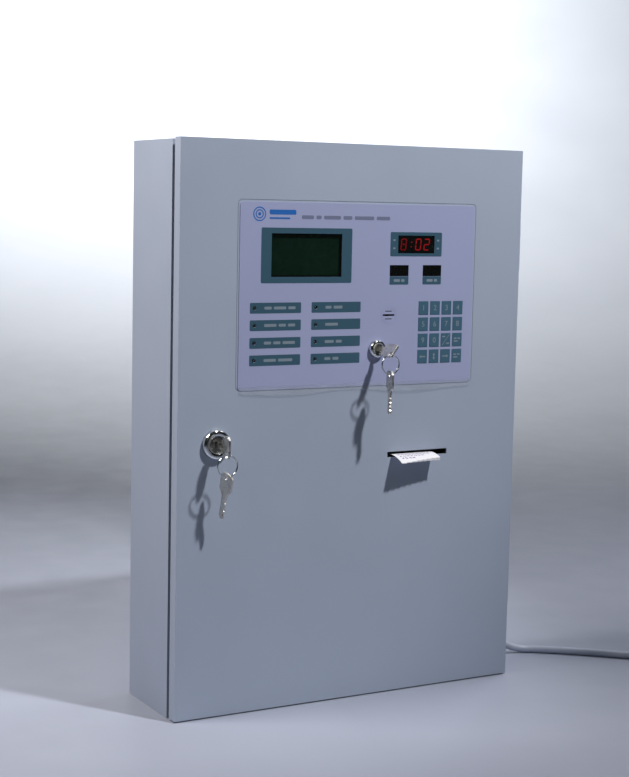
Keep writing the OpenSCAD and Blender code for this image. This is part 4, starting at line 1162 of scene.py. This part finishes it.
def finish_nodes():
    """Materials and rounded edges for every CAD node that is shown as it is."""
    for (material, edge, segments), nodes in PLAIN_FINISHES.items():
        for node in nodes:
            finish_node(node, material, edge, segments)
    lids = node_box("batteries")[1].z - 4.7
    pins = node_box("mains_plug")[1].y - 19.9
    for node, keys, edge, segments, rule in (
            ("main_board", ["board", "black", "sleeve", "zinc", "relay"], 0.2, 2, board_rule),
            ("terminal_blocks", ["terminal", "ivory"], 0.2, 2, lambda p, n: int(p.z < 200)),
            ("power_supply", ["zinc", "black"], 0.3, 2, supply_rule),
            ("batteries", ["case", "brass"], 0.6, 3, lambda p, n: int(p.z > lids)),
            ("switch_bracket", ["zinc", "black"], 0.2, 2, bracket_rule),
            ("mains_plug", ["plug", "brass"], 1.2, 3, lambda p, n: int(p.y > pins)),
            ("lcd_module", ["black", "board"], 0.2, 2, lambda p, n: int(p.y > -47.5)),
            ("display_board", ["board", "black", "tin"], 0.15, 2, display_rule),
            ("feed_roller", ["rubber", "zinc"], 0.2, 2, lambda p, n: int(p.x < 33.4 or p.x > 100.1))):
        finish_node(node, keys, edge, segments, rule)


finish_nodes()


# ---- door loom

LOOM_ROUTE = [(150, 20, 300), (158, 0, 300), (156, -18, 300), (146, -30, 300), (130, -36, 300), (116, -37, 300)]
LOOM_WIRES = {"wire_red": (0.45, 0.02, 0.02), "wire_blue": (0.02, 0.08, 0.4), "wire_yellow": (0.6, 0.45, 0.03),
              "wire_white": (0.6, 0.6, 0.58), "wire_black": (0.02, 0.02, 0.02), "wire_green": (0.03, 0.25, 0.08),
              "wire_brown": (0.12, 0.04, 0.015)}
for wire_name, wire_colour in LOOM_WIRES.items():
    M[wire_name] = plain_surface(wire_name, wire_colour, 0.4, 900, 0.02)


LOOM_TAIL = [(150, 20, 300), (147.5, 26, 300.5), (140, 28, 302), (130, 25, 304), (113, 22, 307)]


def loom_mesh(name, route, twist):
    """Two bundles of six wires along a route, with the owner of each wire's faces as its slot."""
    parts, owners = [], []
    for up in (3.5, -3.5):
        for i in range(6):
            path = []
            for k, p in enumerate(smooth_path(route, 8)):
                a = math.radians(60 * i) + k * twist
                path.append(p + Vector((0.51 * math.cos(a), 1.7 * math.cos(a), up + 1.7 * math.sin(a))))
            part = tube_parts(path, 0.8, 8)
            parts.append(part)
            owners += [i] * len(part[1])
    return mesh_from(name, *join_parts(parts), owners)


def make_loom():
    """The bundles that run from the cabinet to the door, and their still ends with a saddle and a plug on the main
    board.
    """
    keys = list(LOOM_WIRES)[:6]
    piece = add_piece("door_wires", loom_mesh("door_wires", LOOM_ROUTE, 0.12), None, keys, 60)
    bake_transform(piece)
    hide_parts("door_loom")
    add_piece("door_wire_ends", loom_mesh("door_wire_ends", LOOM_TAIL, -0.12), "cabinet", keys, 60)
    board_plug = box_parts((103.5, 17.5, 300), (113.8, 30.2, 314))
    saddle = box_parts((151.7, 17, 293), (153.7, 39, 307))
    holders = mesh_from("loom_holders", *join_parts([board_plug, saddle]))
    add_bevel(add_piece("loom_holders", holders, "cabinet", "ivory"), 0.4)


make_loom()


# ---- inside the cabinet

BATTERY_TABS = (-141.5, -17.5, 17.5, 141.5)
TAB_Y, TAB_Z = -18.6, 102
SUPPLY_WAYS = [-136 + 10 * i for i in range(8)]
MAINS_WAYS = [106 + 12 * i for i in range(4)]
TERMINAL_XS = (-78, -33, 35, 80)
PCB_FRONT, DISPLAY_REAR = 30.2, -43.4
# Places that the main board's CAD components take, as middle X and Z, width and height
BOARD_PARTS = (
    [(-96 + 22 * i, 333, 19, 15.5) for i in range(4)] + [(-60 + 60 * i, 390, 30, 30) for i in range(2)]
    + [(-95 + 24 * i, 428, 10, 18) for i in range(3)] + [(88, 395, 44, 36), (48, 350, 46, 12), (20, 432, 26, 14)]
    + [(92, 432, 60, 14), (96, 356, 34, 9), (5, 311, 220, 11), (5, 459, 220, 11)]
    + [(x, z, 9, 9) for x in (-109, 5, 119) for z in (306, 464)]
)


def make_wiring():
    """Battery leads, mains cores, and the supply's output to the main board."""
    bus = [(-160, 20, 118), (-161, 24, 150), (-161, 26, 230), (-160, 26, 275), (-150, 25, 293)]
    routes = {
        "wire_red": [
            [(-17.5, TAB_Y, TAB_Z + 6), (-15, TAB_Y, TAB_Z + 14), (0, TAB_Y, TAB_Z + 18), (15, TAB_Y, TAB_Z + 14),
             (17.5, TAB_Y, TAB_Z + 6)],
            [(141.5, TAB_Y, TAB_Z + 6), (141, TAB_Y, TAB_Z + 14), (128, -14, 121), (90, 6, 108), (50, 8, 107),
             (30, 14, 106), (8, 16, 107), (4, 16, 114), (4, 13, 124), (4, 9.5, 128)],
            [(SUPPLY_WAYS[1], 9, 116), (SUPPLY_WAYS[1], 6, 110), (-133, 8, 106), (-150, 14, 107), *bus,
             (-102, 24.5, 296), (-98.3, 24, 301), (-98.3, 24, 307)],
        ],
        "wire_black": [
            [(-141.5, TAB_Y, TAB_Z + 6), (-141, TAB_Y, TAB_Z + 13), (-139, -10, 119), (-137, 0, 112), (-136, 9, 116)],
            [(SUPPLY_WAYS[2], 9, 116), (SUPPLY_WAYS[2], 6, 110), (-124, 11, 105.5), (-148, 16, 105),
             *[(x - 2.6, y + 0.6, z) for x, y, z in bus], (-97, 25, 294), (-93.2, 24, 300), (-93.2, 24, 307)],
        ],
        "wire_brown": [
            [(166, 3, 13), (166, 5, 30), (168, 8, 60), (168, 12, 92), (160, 20, 106), (130, 25, 109),
             (106, 28, 111), (106, 29, 119)],
            [(106, 29, 145), (106, 29, 156), (98, 28, 176), (60, 24, 192), (0, 20, 194), (-20, 14, 190),
             (-24, 9, 178), (-24, 7, 166)],
            [(-24, 7, 154), (-24, 10, 134), (-27, 14, 114), (-40, 17, 107), (-60, 14, 106), (-66, 9, 108),
             (-66, 9, 116)],
        ],
        "wire_blue": [
            [(168, 6, 12), (168.5, 8, 30), (165, 11, 60), (165, 15, 92), (158, 24, 109), (135, 28, 112),
             (118, 30, 114), (118, 29, 119)],
            [(118, 29, 145), (118, 29, 158), (106, 30, 180), (60, 28, 196), (0, 24, 198), (-16, 18, 193),
             (-20.5, 10, 180), (-20.5, 7, 166)],
            [(-20.5, 7, 154), (-20, 13, 134), (-24, 18, 111), (-42, 21, 104.5), (-66, 17, 105), (-76, 9, 108),
             (-76, 9, 116)],
        ],
        "wire_green": [
            [(166, 6, 10), (165, 10, 30), (168, 14, 60), (167, 18, 92), (162, 28, 110), (148, 31, 113),
             (130, 31, 114), (130, 29, 119)],
            [(130, 29, 145), (131, 30, 152), (138, 32, 156), (142, 34, 162), (142, 35, 167)],
        ],
    }
    for colour, paths in routes.items():
        parts = [tube_parts(smooth_path(path), 1.25, 10) for path in paths]
        name = "inner_" + colour
        add_piece(name, mesh_from(name, *join_parts(parts)), "cabinet", colour, 60)
    sleeves = [tube_parts([Vector((x, TAB_Y, TAB_Z + z)) for z in (-1, 0, 7, 8.5)], 3.3, 12) for x in BATTERY_TABS]
    for name, colour, chosen in (("sleeves_red", "wire_red", (1, 3)), ("sleeves_black", "wire_black", (0, 2))):
        mesh = mesh_from(name, *join_parts([sleeves[i] for i in chosen]))
        add_bevel(add_piece(name, mesh, "cabinet", colour), 0.5, 2, 50)


def chips(count, low, high, taken, front, outward):
    """Small parts soldered flat at random free places, as two lists of boxes: dark ones and pale ones."""
    dark, pale = [], []
    while len(dark) + len(pale) < count:
        x, z = random.uniform(low[0], high[0]), random.uniform(low[1], high[1])
        w, h = random.choice(((3.2, 1.6), (1.6, 3.2), (2, 1.25), (1.25, 2), (5, 4)))
        if any(abs(x - a) < (c + w) / 2 + 1.2 and abs(z - b) < (d + h) / 2 + 1.2 for a, b, c, d in taken):
            continue
        taken = [*taken, (x, z, w, h)]
        tall = random.uniform(0.5, 1.1) + (0.8 if w == 5 else 0)
        y0, y1 = sorted((front, front + outward * tall))
        (dark if random.random() < 0.6 else pale).append(
            box_parts((x - w / 2, y0, z - h / 2), (x + w / 2, y1, z + h / 2)))
    return dark, pale


def pin_rows(x, z, w, h, pitch, front, outward):
    """Gull-wing pins down both long sides of a chip that is w wide and h high."""
    count = int((h - 1.5) / pitch)
    parts = []
    for i in range(count + 1):
        up = z - count * pitch / 2 + i * pitch
        for side in (-1, 1):
            a, b = sorted((x + side * (w / 2 - 0.2), x + side * (w / 2 + 1.6)))
            y0, y1 = sorted((front, front + outward * 0.5))
            parts.append(box_parts((a, y0, up - 0.32), (b, y1, up + 0.32)))
    return parts


def make_board_details():
    """Small soldered parts, chip pins, screw heads in the terminals and relay lids."""
    random.seed(11)
    main_dark, main_pale = chips(150, (-111, 322), (121, 448), list(BOARD_PARTS), PCB_FRONT, -1)
    keypad = [(87.5, 333, 60, 62), (-53, 402, 96, 72), (59, 402, 60, 40), (*SWITCH, 24, 24)]
    rear_dark, rear_pale = chips(60, (-105, 296), (50, 362), keypad, DISPLAY_REAR, 1)
    pins = []
    for x, z, w, h in BOARD_PARTS[4:9]:
        pins += pin_rows(x, z, w, h, 1.6 if w > 20 else 2.2, PCB_FRONT, -1)
    for name, parts, body, key in (
            ("main_chips_dark", main_dark, "cabinet", "black"), ("main_chips_pale", main_pale, "cabinet", "ivory"),
            ("main_chip_pins", pins, "cabinet", "tin"), ("display_chips_dark", rear_dark, "door", "black"),
            ("display_chips_pale", rear_pale, "door", "ivory")):
        piece = add_piece(name, mesh_from(name, *join_parts(parts)), body, key)
        add_bevel(piece, 0.08, 1)

    def slotted(x, z, r, slot_w, slot_h, steps):
        return [circle(x, z, r, steps), box_loop(x, z, slot_w, slot_h, 0.1)]

    screws = [slotted(x - ways * 2.54 + (i + 0.5) * 5.08, z, 1.6, 2.5, 0.5, 16)
              for z, ways in ((311, 8), (459, 6)) for x in TERMINAL_XS for i in range(ways)]
    add_plates("terminal_screws", screws, 20.5, 0.8, "cabinet", "zinc")
    for name, xs, z, front in (("supply_screws", SUPPLY_WAYS, 120, 9.6), ("mains_screws", MAINS_WAYS, 132, 24)):
        add_plates(name, [slotted(x, z, 2.7, 4.2, 0.8, 20) for x in xs], front, 1, "cabinet", "zinc")
    lids = [box_loop(x, z, w - 2.5, h - 2.5, 1) for x, z, w, h in BOARD_PARTS[:4]]
    add_plates("relay_lids", lids, PCB_FRONT - 15.4, 0.45, "cabinet", "relay")
    stickers = [box_loop(side * 79.5, z, 70, tall, 2) for z, tall in ((46, 26), (22, 12)) for side in (-1, 1)]
    add_plates("battery_stickers", stickers, -27.12, 0.12, "cabinet", "sticker")


make_wiring()
make_board_details()


# ---- stage and lights

KEY_DIRECTION = Vector((0.43, -1, 1.43)).normalized()
BACKDROP_AZIMUTH = -28
SWEEP_START = 2.85
SWEEP_R = 3.0


def behind(across, away, height):
    """A place so far to the right of the camera, so far away from it and so high over the floor."""
    turned = Matrix.Rotation(math.radians(BACKDROP_AZIMUTH), 3, "Z")
    return turned @ Vector((across, away, height)) + Vector((CAMERA_AT.x, CAMERA_AT.y, 0))


def make_stage():
    """Pale floor that sweeps up far behind the cabinet, so the cabinet is in plain view from all round."""
    section = [(-3.0, 0.0), (0.0, 0.0), (1.5, 0.0)]
    section += [(SWEEP_START + SWEEP_R * math.sin(math.radians(a)), SWEEP_R - SWEEP_R * math.cos(math.radians(a)))
                for a in range(0, 91, 5)]
    points = [behind(x, y, z) for x in (-6, 6) for y, z in section]
    n = len(section)
    mesh = bpy.data.meshes.new("stage")
    mesh.from_pydata(points, [], [[i, i + n, i + n + 1, i + 1] for i in range(n - 1)])
    stage = bpy.data.objects.new("stage", mesh)
    bpy.context.scene.collection.objects.link(stage)
    mesh.shade_smooth()
    n = Nodes("stage_pale")
    n.set(Base_Color=n.blend(n.spread(n.noise(3, 2), 0, 1), (0.36, 0.39, 0.48), (0.38, 0.41, 0.5)),
          Roughness=n.spread(n.noise(20, 3), 0.5, 0.6), Specular_IOR_Level=0.3)
    mesh.materials.append(n.material)


def aim(holder, place, target):
    """Links a light to the scene, looking from a place at a target."""
    holder.location = place
    holder.rotation_euler = (Vector(target) - Vector(place)).to_track_quat("-Z", "Y").to_euler()
    bpy.context.scene.collection.objects.link(holder)


CENTRE = Vector((0, 0, 0.25))
# Name, place, target, width, height, spread in degrees, watts and colour
SOFT_LIGHTS = (
    ("side_fill", (-0.75, 0.05, 1.06), (-0.17, 0, 0.46), 0.4, 0.4, 180, 10.5, (1.0, 0.94, 0.9)),
    ("wall_wash", behind(-0.6, 4.1, 2.6), behind(0.1, 5.3, 0.6), 1.0, 0.5, 125, 100, (1.0, 0.98, 0.88)),
    ("front_fill", (-1.2, -2.4, 1.6), CENTRE, 1.8, 1.4, 180, 0.95, (0.78, 1.0, 0.6)),
    ("floor_fill", (1.0, 0.15, 1.3), (0.42, -0.25, 0), 0.7, 0.7, 110, 3.5, (0.92, 0.93, 1.0)),
)
KEY_WATTS, KEY_AWAY, KEY_CONE, KEY_RADIUS = 103, 1.8, 34, 0.05


def make_lights():
    """A hard key light from the right, soft fills, and a wash over the backdrop."""
    key = bpy.data.lights.new("key_light", "SPOT")
    key.energy, key.color, key.shadow_soft_size = KEY_WATTS, (1.0, 1.0, 1.0), KEY_RADIUS
    key.spot_size, key.spot_blend = math.radians(KEY_CONE), 0.8
    aim(bpy.data.objects.new("key_light", key), CENTRE + KEY_AWAY * KEY_DIRECTION, CENTRE + Vector((-0.05, 0, 0.18)))
    for name, place, target, wide, high, spread, watts, colour in SOFT_LIGHTS:
        light = bpy.data.lights.new(name, "AREA")
        light.shape = "SQUARE" if wide == high else "RECTANGLE"
        light.size, light.size_y, light.spread = wide, high, math.radians(spread)
        light.energy, light.color = watts, colour
        aim(bpy.data.objects.new(name, light), place, target)
    world = bpy.data.worlds.new("studio")
    bpy.context.scene.world = world
    world.use_nodes = True
    background = world.node_tree.nodes["Background"]
    background.inputs["Color"].default_value = (0.62, 0.74, 0.72, 1)
    background.inputs["Strength"].default_value = 0.02


make_stage()
make_lights()
bpy.context.scene.view_settings.view_transform = "Standard"
